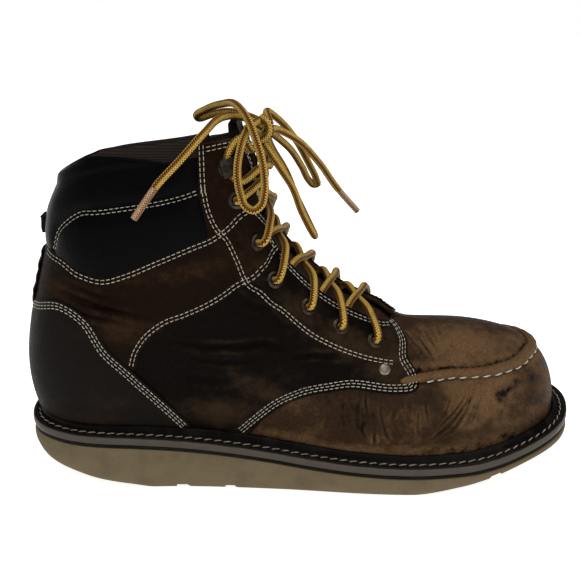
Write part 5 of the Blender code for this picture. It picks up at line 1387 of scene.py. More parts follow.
@dataclass
class Stitching:
    """Rows of small thread stitches along the panel edges, the moc seam and the welt."""

    length: float = 2.15 * MM
    pitch: float = 2.85 * MM
    radius: float = 0.245 * MM
    apart: float = 0.95 * MM
    moc_length: float = 5.0 * MM
    moc_pitch: float = 6.6 * MM
    welt_length: float = 4.5 * MM
    welt_pitch: float = 5.4 * MM

    def grains(self, middles: Array, along: Array, normals: Array, length: float, radius: float,
               slant: float = 0.0) -> tuple[Array, list]:
        """Stitches with round middles and ends that dip into the leather.

        Args:
            middles: middle of each stitch.
            along: the way of the row at each.
            normals: the way out at each.
            length: length of a stitch.
            radius: half its thickness.
            slant: turn of each stitch from the row, in degrees.
        Returns:
            Points and faces.
        """
        normals = unit(normals)
        along = unit(along - normals * np.sum(along * normals, -1, keepdims=True))
        side = np.cross(normals, along)
        if slant:
            a = math.radians(slant)
            along, side = along * math.cos(a) + side * math.sin(a), side * math.cos(a) - along * math.sin(a)
        shares = np.array([-0.5, -0.40, -0.18, 0.18, 0.40, 0.5]) * length
        widths = np.array([0.35, 0.85, 1.0, 1.0, 0.85, 0.35]) * radius
        lifts = np.array([-0.9, 0.0, 0.45, 0.45, 0.0, -0.9]) * radius
        turns = 2 * math.pi * np.arange(6) / 6
        m, a, n, s = (x[:, None, None, :] for x in (middles, along, normals, side))
        points = (m + a * shares[None, :, None, None] + n * lifts[None, :, None, None]
                  + widths[None, :, None, None] * (s * np.cos(turns)[None, None, :, None]
                                                   + n * 0.85 * np.sin(turns)[None, None, :, None]))
        faces = []
        for k in range(len(middles)):
            base = k * 36
            faces += [tuple(reversed(f)) for f in grid_faces(6, 6, closed_rows=True, start=base)]
            faces.append(tuple(range(base, base + 6)))
            faces.append(tuple(range(base + 35, base + 29, -1)))
        return points.reshape(-1, 3), faces

    def row(self, row: Row) -> list[tuple[Array, list]]:
        """The stitches of one row with its parallels."""
        found = []
        for offset in row.offsets:
            line = place_line(row.line, None, self.pitch / 2)
            if offset:
                line = np.array(FORM.shifted(line, offset * self.apart))
            line = true_spaced(line, self.pitch)
            u, v = line[:, 0], np.clip(line[:, 1], 0, 1)
            points = FORM.lifted(u, v, row.height(u) + RELIEF.height(u, v) + 0.10 * MM)
            found.append(self.grains(points, np.gradient(points, axis=0), FORM.normal(u, v), self.length,
                                     self.radius))
        return found

    def joined(self, name: str, parts: Sequence[tuple[Array, list]], finish: Finish = CREAM) -> None:
        """All stitches of a group as one mesh in one thread."""
        made = boot_mesh(name, *gathered(parts))
        dressed(made, finish)
        made.data.shade_smooth()

    def panel_rows(self) -> list[Row]:
        """The rows on the lateral side."""
        def flat(kind: str) -> Callable[[Array], Array]:
            """The even height of one kind of panel."""
            return lambda u: np.full(np.shape(u), PANEL_TOPS[kind])

        def stay(u: Array) -> Array:
            """Height of the panel under the stay's stitches."""
            half = np.minimum(u % LOOP, LOOP - u % LOOP)
            return np.where(half < 4.72, PANEL_TOPS["ankle"], PANEL_TOPS["saddle"])

        def edge(start: float, end: float, kind: str, inset: float) -> Row:
            """A row along the throat's edge between two stations."""
            us = np.linspace(start, end, max(3, int((end - start) * 4)))
            vs = 1 - inset / FORM.span(us, np.full_like(us, 0.97))
            return Row(list(zip(us, vs)), (0.0,), flat(kind))

        rows = [
            Row(COUNTER_EDGE, (-1.7, 0.0, 1.7), flat("counter")),
            Row(COLLAR_LINE[1:-1] + FACING_FOOT[:], (-1.0, 1.0), flat("ankle")),
            Row(SADDLE_TOP[1:], (-1.0, 1.0), flat("ankle")),
            Row(SADDLE_FRONT, (-1.7, 0.0, 1.7), flat("saddle")),
            Row(STAY_STITCH, (-0.9, 0.9), stay),
            Row([(u, v) for u, v in FACING_BACK if v >= 0.85], (-1.0, 1.0), flat("facing")),
        ]
        for inset in (2.0 * MM, 4.0 * MM):
            rows.append(edge(3.46, 4.72, "facing", inset))
            rows.append(edge(4.92, 5.10, "ankle", inset))
            rows.append(edge(5.22, 7.22, "saddle", inset))
        return rows

    def moc(self) -> list[tuple[Array, list]]:
        """The long stitches at the outer foot of the moc seam and the small ones inside it."""
        found = []
        for offset, length, pitch, radius, rise in (
                (-3.0 * MM, self.moc_length, self.moc_pitch, 0.50 * MM, 0.75 * MM),
                (3.5 * MM, 1.8 * MM, self.moc_pitch / 2, 0.26 * MM, 0.0)):
            stations = np.linspace(7.10, LOOP - 7.10, 400)
            seam, _ = FORM.seam(stations)
            shares = seam + offset / FORM.span(stations, seam)
            line = FORM.surface(stations, shares)
            run = run_along(line)
            even = np.arange(pitch, run[-1] - pitch, pitch)
            u, v = np.interp(even, run, stations), np.interp(even, run, shares)
            points = FORM.lifted(u, v, np.full_like(u, rise))
            tilt = FORM.normal(u, v) - (1.0 if offset < 0 else 0.0) * unit(
                FORM.surface(u, v + 0.01) - FORM.surface(u, v - 0.01)) * 0.7
            found.append(self.grains(points, np.gradient(points, axis=0), tilt, length, radius))
        return found

    def welt(self) -> list[tuple[Array, list]]:
        """Slanted stitches in the welt's channel, all round but the heel's back."""
        stations = np.linspace(0.15, LOOP - 0.15, 900)
        level = FORM.outline(stations) - FORM.outward(stations)[:, :2] * 3.9 * MM
        line = np.concatenate([level, (FORM.welt(level[:, 0]) - 0.35 * MM)[:, None]], -1)
        run = run_along(line)
        even = np.arange(self.welt_pitch, run[-1], self.welt_pitch)
        points = read_rows(even, run, line)
        out = FORM.outward(np.interp(even, run, stations))
        return [self.grains(points, np.gradient(points, axis=0), UP + 0.35 * out, self.welt_length, 0.40 * MM, 13)]

    def build(self) -> None:
        """Every row on both sides."""
        for side in ("lateral", "medial"):
            parts = []
            for row in self.panel_rows():
                line = list(row.line) if side == "lateral" else other_side(row.line)
                offsets = row.offsets if side == "lateral" else [-o for o in row.offsets]
                parts += self.row(Row(line, offsets, row.height))
            self.joined(f"panel_stitches_{side}", parts)
        outer, inner = self.moc()
        self.joined("moc_stitches", [outer])
        self.joined("moc_inner_stitches", [inner], DARK_THREAD)
        self.joined("welt_stitches", self.welt(), WELT_THREAD)


@dataclass
class Collar:
    """The padded roll round the top line, black outside with a mesh lining turned over it."""

    puff: float = 4.6 * MM
    leather_end: float = 0.962
    outer_rows: int = 48
    lining_rows: int = 26
    sections: int = 241

    def reach(self, place: Array) -> Array:
        """Station of the collar's front end at a height."""
        return steady([p[1] for p in FACING_BACK], [p[0] for p in FACING_BACK], place) - 0.045

    def low(self, side: Array) -> Array:
        """Share of the way up of the collar's lower edge."""
        return steady([p[0] for p in COLLAR_LINE], [p[1] for p in COLLAR_LINE], side) + 0.014

    def rise(self, u: Array, v: Array) -> Array:
        """Height of the two puffs over the form, u counted from the heel to both sides."""
        u, v = np.broadcast_arrays(np.asarray(u, float), np.asarray(v, float))
        side = np.abs(u)
        low = self.low(side)
        t = np.clip((v - low) / (self.leather_end - low), 0, 1)
        whole = np.sin(np.pi * np.clip(0.03 + 0.85 * t, 0, 1)) ** 0.42
        points = FORM.surface(u, v).reshape(-1, 3)
        gap = np.full(len(points), 1.0)
        for turn in (list, mirrored):
            line = place_line(turn([(0.99, 0.722)] + COLLAR_VALLEY), None, 1.5 * MM)
            gap = np.minimum(gap, line_gap(points, FORM.surface(line[:, 0], line[:, 1]), 16 * MM)[0])
        pinch = 1 - 0.86 * np.exp(-(np.clip(gap, 0, 1) / (3.0 * MM)) ** 1.25).reshape(u.shape)
        puff = self.puff * (0.78 + 0.22 * np.minimum(side, 1.0))
        shoulder = 0.62 * np.clip(1 - side / 1.9, 0, 1) ** 0.6
        whole = whole * (1 - shoulder * np.clip((t - 0.60) / 0.40, 0, 1) ** 1.6)
        fade = np.clip((self.reach(v) - side) * 33 / 6.0, 0, 1) ** 0.5
        return (0.6 * MM + (puff * whole * pinch - 0.2 * MM) * (0.22 + 0.78 * fade)) + RELIEF.height(u, v)

    def leather(self, shares: Array) -> Array:
        """Points of the leather side, sections by rows."""
        low = self.low(np.abs(shares) * float(self.reach(np.array(0.74))))[:, None]
        v = low + (self.leather_end - low) * np.linspace(0, 1, self.outer_rows)[None]
        u = shares[:, None] * self.reach(v)
        return FORM.lifted(u, v, self.rise(u, v))

    def build(self) -> None:
        """The roll with its two leathers."""
        shares = np.linspace(-1, 1, self.sections)
        outer = self.leather(shares)
        u = shares * float(self.reach(np.array(1.0)))
        rim, n = FORM.surface(u, np.ones_like(u)), FORM.normal(u, np.ones_like(u))
        fade = np.clip((1 - np.abs(shares)) * 3.4 * 33 / 7.0, 0, 1)[:, None] ** 0.5
        last = outer[:, -1]
        heel = (np.clip(1 - np.abs(u) / 1.9, 0, 1) ** 0.6)[:, None]
        drape = np.stack([
            last, last + n * (0.4 - 1.0 * heel) * MM + UP * 0.7 * MM,
            rim + n * (0.9 * fade + 0.2 - 1.5 * heel) * MM + UP * 2.0 * MM,
            rim - n * (1.6 + 0.8 * heel) * MM + UP * 3.6 * MM, rim - n * 4.4 * MM + UP * 2.9 * MM,
            rim - n * 5.9 * MM + UP * 0.2 * MM,
            FORM.lifted(u, np.full_like(u, 0.92), np.full_like(u, -6.3 * MM)),
            FORM.lifted(u, np.full_like(u, 0.86), np.full_like(u, -5.2 * MM)),
            FORM.lifted(u, np.full_like(u, 0.82), np.full_like(u, -3.1 * MM))], 1)
        lining = []
        for line in drape:
            fine = smooth_path(line, 0.4 * MM)
            run = np.linspace(0, len(fine) - 1, self.lining_rows + 1)[1:]
            lining.append(read_rows(run, np.arange(len(fine)), fine))
        back = np.stack([
            FORM.lifted(u, np.full_like(u, 0.92), np.full_like(u, -WALL - 0.3 * MM)),
            rim - n * (WALL + 0.3 * MM) + UP * 0.4 * MM, rim + n * 0.35 * MM + UP * 0.4 * MM,
            FORM.lifted(u, np.full_like(u, 0.85), np.full_like(u, 0.3 * MM))], 1)
        points = np.concatenate([outer, np.array(lining), back], 1)
        count, ring = points.shape[:2]
        faces = grid_faces(count, ring, closed_rows=True)
        faces.append(tuple(range(ring)))
        faces.append(tuple((count - 1) * ring + j for j in range(ring - 1, -1, -1)))
        made = boot_mesh("collar_pad", points, faces)
        set_marks(made)
        dressed(made, COLLAR, LINING)
        turn = np.repeat(self.turn_over(shares[:-1]) + self.outer_rows - 1, ring)
        slots = [int(k % ring + 0.5 >= turn[k]) for k in range((count - 1) * ring)] + [1, 1]
        made.data.polygons.foreach_set("material_index", np.array(slots, np.int32))
        recalculated(made)
        smoothed(made, 70)
        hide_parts("collar")
        self.build_seams(points, shares)

    def turn_over(self, shares: Array) -> Array:
        """Rows of the turned edge that are still leather; most at the heel, none in front."""
        return 6.5 * np.clip((0.86 - np.abs(shares)) / 0.45, 0, 1) ** 0.8

    def build_seams(self, points: Array, shares: Array) -> None:
        """The double stitch between the two puffs and the piping where the lining starts.

        Args:
            points: the roll's points, sections by rows.
            shares: the sections' shares of the collar's length.
        """
        work = Stitching()
        parts = []
        for turn in (list, mirrored):
            for offset in (-0.9, 0.9):
                line = np.array(FORM.shifted(place_line(turn(COLLAR_VALLEY), None, work.pitch / 2), offset * MM))
                line = true_spaced(line, work.pitch)
                u, v = line[:, 0], line[:, 1]
                places = FORM.lifted(u, v, self.rise(u, v) + 0.12 * MM)
                parts.append(work.grains(places, np.gradient(places, axis=0), FORM.normal(u, v), work.length,
                                         work.radius))
        work.joined("collar_stitches", parts)
        rows = self.turn_over(shares) + self.outer_rows - 1
        first = rows.astype(int)
        part = (rows - first)[:, None]
        every = np.arange(len(shares))
        path = (points[every, first] * (1 - part) + points[every, first + 1] * part)[1:-1]
        made = boot_mesh("collar_piping", *tube_points(path, 0.7 * MM, 8)[:2])
        set_marks(made)
        dressed(made, COLLAR)
        made.data.shade_smooth()


def tube_points(path: Array, radius: float, sides: int) -> tuple[Array, list, Array]:
    """A closed tube along a path.

    Args:
        path: its middle line.
        radius: its radius.
        sides: corners round it.
    Returns:
        Points, faces, and for each face corner the run along and share round.
    """
    path = np.asarray(path, float)
    tangents = unit(np.gradient(path, axis=0))
    across = np.cross(tangents[0], (0.3, 0.1, 1.0))
    run = run_along(path)
    rings = []
    for point, tangent in zip(path, tangents):
        across = across - tangent * (across @ tangent)
        across = across / np.linalg.norm(across)
        other = np.cross(tangent, across)
        turns = 2 * math.pi * np.arange(sides) / sides
        rings.append(point + radius * (across * np.cos(turns)[:, None] + other * np.sin(turns)[:, None]))
    count = len(path)
    faces, corners = [], []
    for i in range(count - 1):
        for j in range(sides):
            n = (j + 1) % sides
            faces.append((i * sides + j, i * sides + n, (i + 1) * sides + n, (i + 1) * sides + j))
            corners += [(run[i], j / sides), (run[i], (j + 1) / sides), (run[i + 1], (j + 1) / sides),
                        (run[i + 1], j / sides)]
    faces.append(tuple(range(sides - 1, -1, -1)))
    corners += [(0.0, j / sides) for j in range(sides - 1, -1, -1)]
    faces.append(tuple((count - 1) * sides + j for j in range(sides)))
    corners += [(run[-1], j / sides) for j in range(sides)]
    return np.concatenate(rings), faces, np.array(corners)


@dataclass
class Tongue:
    """The padded tongue under the throat, with its keeper loop."""

    thick: float = 4.0 * MM
    fit: float = 1.0 * MM
    sink: float = 3.0 * MM
    free: float = 12.0 * MM
    stations: tuple[float, ...] = (8.55, 8.2, 7.9, 7.6, 7.3, 7.0, 6.6, 6.2, 5.8, 5.4, 5.1, 4.8, 4.5, 4.2)
    keeper_station: float = 4.93
    keeper_width: float = 6.5 * MM
    keeper_span: float = 10.0 * MM
    keeper_rise: float = 3.0 * MM
    keeper_plate: float = 1.2 * MM

    def row(self, u: float) -> Array:
        """Seven points across the tongue at a station."""
        depth = WALL + self.fit
        low = 0.80 if u < 7.4 else 0.86
        row = []
        for station, sign in ((u, 1), (LOOP - u, -1)):
            side = [FORM.lifted(station, share, -depth) for share in (low, 0.92)]
            edge = FORM.lifted(station, 1.0, -(depth + 0.5 * self.sink))
            side.append(edge + np.array([0, sign * 3 * MM, 0]))
            row.append(side)
        left, right = row
        middle = (left[2] + right[2]) / 2
        if u >= CLOSED_FROM:
            middle = FORM.lifted(u, 1.0, -depth)
            span = (left[1] - right[1]) / 2
            left[2] = middle + span * 0.5 - np.array([0, 0, 0.4 * MM])
            right[2] = middle - span * 0.5 - np.array([0, 0, 0.4 * MM])
        return np.array(left + [middle] + right[::-1])

    def build(self) -> None:
        """The tongue with rounded edges and a puffed top, then its keeper."""
        rows = np.array([self.row(u) for u in self.stations])
        top = rows[-1] + np.array([-0.12, 0.0, 1.0]) * self.free
        top[:, 1] *= 0.85
        rows = np.concatenate([rows, top[None]])
        dense = self.refined(self.refined(rows, 6, 0), 6, 1)
        count, across = dense.shape[:2]
        normal = unit(np.cross(np.gradient(dense, axis=0), np.gradient(dense, axis=1)))
        if normal[count // 2, across // 2, 2] < 0:
            normal = -normal
        along = np.linspace(0, 1, count)[:, None]
        over = np.linspace(-1, 1, across)[None]
        puff = np.clip((along - 0.72) / 0.2, 0, 1) * (1 - over**2) ** 0.5 * 1.1 * MM
        puff = puff * (1 - 0.5 * np.exp(-(((along - 0.80) / 0.012) ** 2)))
        crumple = 0.25 * MM * np.sin(along * 70 + 2 * over) * (1 - over**2)
        round_off = (1 - np.abs(over) ** 8) * (1 - np.clip((along - 0.985) / 0.015, 0, 1) ** 2 * 0.5)
        upper = dense + normal * (puff + crumple)[..., None]
        under = dense - normal * (self.thick * round_off * 0.98)[..., None]
        ring = np.concatenate([upper, under[:, ::-1]], 1)
        faces = grid_faces(count, 2 * across, closed_rows=True)
        faces.append(tuple(range(2 * across)))
        faces.append(tuple((count - 1) * 2 * across + j for j in range(2 * across - 1, -1, -1)))
        made = boot_mesh("tongue_pad", ring, faces)
        dark = np.repeat(np.clip((along - 0.80) / 0.02, 0, 1), 2 * across, 1)
        set_marks(made, soil=0.25 + 0.75 * dark)
        dressed(made, TONGUE)
        recalculated(made)
        rounded(made, 0.7 * MM, 2, 60)
        smoothed(made, 70)
        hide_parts("tongue")
        self.build_keeper()

    @staticmethod
    def refined(points: Array, factor: int, axis: int) -> Array:
        """More points along one way of a grid, on smooth curves."""
        points = np.moveaxis(points, axis, 0)
        slope = np.gradient(points, axis=0)
        found = []
        for i in range(len(points) - 1):
            for t in np.linspace(0, 1, factor, endpoint=False):
                found.append(hermite(points[i], points[i + 1], slope[i], slope[i + 1], t))
        found.append(points[-1])
        return np.moveaxis(np.array(found), 0, axis)

    def build_keeper(self) -> None:
        """The small leather loop that keeps the lace in the middle."""
        middle = self.row(self.keeper_station)[3]
        along = unit(self.row(self.keeper_station - 0.15)[3] - self.row(self.keeper_station + 0.15)[3])
        across = np.array([0.0, 1.0, 0.0])
        out = np.cross(along, across)
        out = out if out[2] > 0 else -out
        half, rise = 0.5 * self.keeper_span, self.keeper_rise
        arch = [(-half - 2 * MM, 0.0, 0), (-half, 0.1 * rise, 0), (-0.75 * half, 0.8 * rise, 0),
                (0.0, 1.05 * rise, 0), (0.75 * half, 0.8 * rise, 0), (half, 0.1 * rise, 0),
                (half + 2 * MM, 0.0, 0)]
        inner = smooth_path(np.array(arch), 0.8 * MM)[:, :2]
        base = middle + out * 1.0 * MM
        points = []
        for side in np.linspace(-0.5, 0.5, 7):
            for x, h in inner:
                points.append(base + across * x + out * (h + self.keeper_plate) + along * side * self.keeper_width)
        made = boot_mesh("tongue_keeper_loop", points, grid_faces(7, len(inner)))
        face = made.data.polygons[len(made.data.polygons) // 2].normal
        if Vector(out) @ face < 0:
            made.data.flip_normals()
        set_marks(made, wear=0.45)
        applied(made, "SOLIDIFY", thickness=self.keeper_plate, offset=-1.0)
        rounded(made, 0.3 * MM)
        dressed(made, STRAP)
        smoothed(made, 50)
        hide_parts("tongue_keeper")


@dataclass
class Hardware:
    """Eyelets, rivets, hooks and the pull tab."""

    eyelet_radius: float = 4.7 * MM
    eyelet_hole: float = 2.5 * MM
    eyelet_rise: float = 1.0 * MM
    rivet_radius: float = 3.0 * MM
    hook_width: float = 10.0 * MM
    hook_length: float = 11.0 * MM
    hook_plate: float = 1.1 * MM

    def seat(self, u: float, v: float, raised: float) -> tuple[Array, Array, Array, Array]:
        """Middle of a fitting, the way out, the way to the throat and the way along it."""
        point, out = FORM.lifted(u, v, raised), FORM.normal(u, v)
        toward = FORM.surface(u, min(v + 0.05, 1.0)) - FORM.surface(u, v - 0.05)
        toward = unit(toward - out * (toward @ out))
        return point, out, toward, np.cross(out, toward)

    def edge_station(self, place: Place) -> float:
        """Station of the throat's edge nearest to a fitting."""
        spot = FORM.surface(*place)
        stations = np.linspace(CLOSED_FROM / 2, CLOSED_FROM - 0.4, 60)
        edge = FORM.surface(stations, np.ones_like(stations))
        return float(stations[np.argmin(np.linalg.norm(edge - spot, axis=1))])

    def hook_seat(self, station: float) -> tuple[Array, Array, Array, Array]:
        """Middle of a hook, the way out, the way to the throat's edge and the way up along it."""
        middle, out, _, _ = self.seat(station, HOOK[1], GAP + SEAT + 1.7 * MM)
        near = self.edge_station(HOOK)
        toward = FORM.surface(near if station < TIP else LOOP - near, 1.0) - middle
        toward = unit(toward - out * (toward @ out))
        up = np.cross(out, toward)
        return middle, out, toward, up if up[2] > 0 else -up

    def hook_path(self, station: float, way: int) -> Array:
        """Route of a lace from beside a hook to its middle; way is 1 from above, -1 from below."""
        middle, out, toward, up = self.hook_seat(station)
        inside = middle + out * (self.hook_plate + 0.5 * LACE_WIDTH + 0.5 * MM)
        beside = inside + up * way * (0.5 * self.hook_width + 2.6 * MM) + toward * 2.2 * MM + out * 0.4 * MM
        return np.array([beside, inside + up * way * 0.3 * self.hook_width, inside + up * way * 0.1 * MM])

    def spun(self, name: str, section: Sequence[tuple[float, float]], steps: int) -> bpy.types.Object:
        """A ring turned about Z from a section of (radius, height) points, with the spin tool."""
        mesh = bpy.data.meshes.new(name)
        closed = section[0][0] > 0
        edges = [(i, i + 1) for i in range(len(section) - 1)] + ([(len(section) - 1, 0)] if closed else [])
        mesh.from_pydata([(r, 0.0, h) for r, h in section], edges, [])
        made = bpy.data.objects.new(name, mesh)
        bpy.context.scene.collection.objects.link(made)
        choose(made)
        bpy.ops.object.mode_set(mode="EDIT")
        bpy.ops.mesh.select_all(action="SELECT")
        bpy.ops.mesh.spin(steps=steps, angle=2 * math.pi, center=(0, 0, 0), axis=(0, 0, 1))
        bpy.ops.object.mode_set(mode="OBJECT")
        return recalculated(made)

    def placed(self, model: bpy.types.Object, name: str, seat: tuple[Array, Array, Array, Array], finish: Finish,
               node: str) -> None:
        """A copy of a model on a seat, standing for a CAD node."""
        middle, out, toward, along = seat
        made = model.copy()
        made.data = model.data.copy()
        made.name = name
        bpy.context.scene.collection.objects.link(made)
        turn = Matrix((
            (toward[0], along[0], out[0], middle[0] - FORM.centre[0]),
            (toward[1], along[1], out[1], middle[1] - FORM.centre[1]),
            (toward[2], along[2], out[2], middle[2] - FORM.centre[2]), (0, 0, 0, 1)))
        made.data.transform(turn)
        dressed(made, finish)
        smoothed(made, 35)
        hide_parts(node)

    def build(self) -> None:
        """All metal pieces and the tab."""
        r, hole, rise = self.eyelet_radius, self.eyelet_hole, self.eyelet_rise
        ring = [(hole, -1.2 * MM), (hole, 0.55 * rise), (hole + 0.25 * MM, 0.9 * rise), (hole + 0.75 * MM, rise),
                (hole + 1.3 * MM, 0.86 * rise), (r - 0.5 * MM, 0.45 * rise), (r - 0.12 * MM, 0.3 * rise),
                (r, 0.1 * rise), (r, -0.2 * MM), (hole + 0.5 * MM, -0.3 * MM), (hole + 0.5 * MM, -1.2 * MM)]
        eyelet = self.spun("eyelet_model", ring, 40)
        dome = [(0.0, 1.05 * MM), (0.35 * self.rivet_radius, 1.0 * MM), (0.65 * self.rivet_radius, 0.82 * MM),
                (0.9 * self.rivet_radius, 0.5 * MM), (self.rivet_radius, 0.2 * MM), (self.rivet_radius, -0.2 * MM),
                (0.0, -0.2 * MM)]
        rivet = self.spun("rivet_model", dome, 32)
        for number, (u, v) in enumerate(EYELETS, 1):
            raised = (1.5, 2.0)[number > 4] * MM + 0.1 * MM
            for side, station in (("lateral", u), ("medial", LOOP - u)):
                self.placed(eyelet, f"eyelet_ring_{side}_{number}", self.seat(station, v, raised), BRASS,
                            f"eyelet_{side}_{number}")
        for side, station in (("lateral", RIVET[0]), ("medial", LOOP - RIVET[0])):
            self.placed(rivet, f"rivet_head_{side}", self.seat(station, RIVET[1], 1.55 * MM), WORN_METAL,
                        f"rivet_{side}")
        for model in (eyelet, rivet):
            bpy.data.objects.remove(model)
        for side, station in (("lateral", HOOK[0]), ("medial", LOOP - HOOK[0])):
            self.build_hook(side, station)
        self.build_tab()

    def build_hook(self, side: str, station: float) -> None:
        """One open hook, bent from a plate."""
        inner = 0.5 * (LACE_WIDTH + 1.0 * MM)
        outer = inner + 0.5 * self.hook_plate
        half = 0.5 * self.hook_length
        bend = half - outer - 0.5 * self.hook_plate
        rise = outer + 0.5 * self.hook_plate
        turns = np.radians((14, 30, 48, 68, 90))
        round_end = [(-half + 5 * MM * (1 - math.cos(a)), 0.0) for a in turns]
        line = round_end + [(bend, 0.0)]
        line += [(bend + outer * math.sin(a), rise - outer * math.cos(a))
                 for a in np.radians(np.arange(15, 180, 15))]
        line += [(bend, rise + outer), (-0.3 * half, rise + outer), (-0.72 * half, rise + outer - 0.5 * MM)]
        middle, out, toward, up = self.hook_seat(station)
        middle = middle + out * 0.5 * self.hook_plate
        points = []
        shares = np.linspace(-0.5, 0.5, 9)
        for s in shares:
            for k, (x, h) in enumerate(line):
                width = self.hook_width * (math.sin(turns[k]) if k < len(turns) else 0.9)
                points.append(middle + toward * x + out * h + up * s * width)
        made = boot_mesh(f"hook_plate_{side}", points, grid_faces(len(shares), len(line)))
        applied(made, "SOLIDIFY", thickness=self.hook_plate, offset=0.0)
        rounded(made, 0.3 * MM, 3)
        dressed(made, BRASS)
        recalculated(made)
        smoothed(made, 50)
        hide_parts(f"hook_{side}")

    def build_tab(self) -> None:
        """The small folded tab behind the collar."""
        low, high = (np.array(c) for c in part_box("pull_tab"))
        middle = (low + high) / 2 + FORM.centre
        half = (high - low) / 2
        points = []
        for t in np.linspace(-1, 1, 9):
            thick = half[0] * (0.75 + 0.25 * math.cos(math.pi * t / 2))
            for x, y in ((-1, -1), (1, -1), (1, 1), (-1, 1)):
                reach = x * thick + 0.2 * MM * math.sin(3 * t) + (1.6 * MM if x > 0 else 0.4 * MM)
                points.append(middle + np.array([reach, y * half[1], t * half[2]]))
        faces = grid_faces(9, 4, closed_rows=True) + [(3, 2, 1, 0), (32, 33, 34, 35)]
        made = boot_mesh("pull_tab_cloth", points, faces)
        rounded(made, 0.3 * MM)
        dressed(made, TAB)
        recalculated(made)
        smoothed(made, 50)
        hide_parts("pull_tab")


# Routes of the free lace: shares of length, of ball width (medial plus) and of shaft height
KNOT_ROUTE: Route = [
    (0.446, -0.155, 1.040), (0.460, -0.178, 1.022), (0.459, -0.178, 0.998), (0.4465, -0.166, 0.980),
]
LOOP_NEAR_ROUTE: Route = [
    (0.441, -0.178, 1.031), (0.428, -0.285, 1.022), (0.416, -0.390, 0.979), (0.411, -0.435, 0.929),
    (0.415, -0.455, 0.876), (0.422, -0.464, 0.846), (0.434, -0.467, 0.835), (0.446, -0.464, 0.846),
    (0.452, -0.457, 0.876), (0.452, -0.430, 0.932), (0.440, -0.374, 1.007), (0.424, -0.280, 1.056),
    (0.406, -0.187, 1.077), (0.382, -0.075, 1.069), (0.354, 0.019, 1.050), (0.334, 0.060, 1.030),
    (0.336, 0.098, 1.018), (0.361, 0.085, 1.030), (0.392, 0.030, 1.040), (0.418, -0.015, 1.034),
    (0.440, -0.085, 1.026), (0.452, -0.140, 1.018),
]
LOOP_FAR_ROUTE: Route = [
    (0.460, -0.050, 1.013), (0.454, 0.030, 1.038), (0.474, 0.112, 1.007), (0.502, 0.206, 0.941),
    (0.523, 0.262, 0.871), (0.538, 0.308, 0.812), (0.540, 0.322, 0.797), (0.532, 0.332, 0.794),
    (0.525, 0.315, 0.808), (0.512, 0.224, 0.860), (0.491, 0.130, 0.925), (0.466, 0.060, 0.970),
    (0.455, -0.030, 0.992), (0.455, -0.110, 1.000),
]
LOOP_LOW_ROUTE: Route = [
    (0.4485, -0.151, 0.972), (0.475, -0.120, 0.900), (0.496, -0.100, 0.840), (0.509, -0.080, 0.775),
    (0.530, -0.045, 0.700), (0.532, 0.000, 0.690), (0.518, 0.010, 0.740), (0.502, 0.000, 0.800),
    (0.482, -0.020, 0.885), (0.462, -0.040, 0.945), (0.456, -0.095, 0.978), (0.455, -0.130, 0.992),
]
END_NEAR_ROUTE: Route = [
    (0.4505, -0.146, 1.0105), (0.432, -0.105, 1.026), (0.410, -0.125, 1.040), (0.383, -0.224, 1.045),
    (0.359, -0.355, 1.018), (0.325, -0.440, 0.964), (0.289, -0.475, 0.908), (0.248, -0.490, 0.823),
]
END_FAR_ROUTE: Route = [
    (0.4615, -0.153, 1.006), (0.471, -0.040, 0.996), (0.505, 0.060, 0.955), (0.542, 0.160, 0.880),
    (0.575, 0.243, 0.794), (0.613, 0.299, 0.715),
]
RISER_LATERAL_ROUTE: Route = [
    (0.441, -0.189, 0.970), (0.430, -0.255, 0.966),
]
RISER_MEDIAL_ROUTE: Route = [
    (0.448, -0.123, 0.979), (0.446, 0.010, 0.976), (0.436, 0.195, 0.968),
]


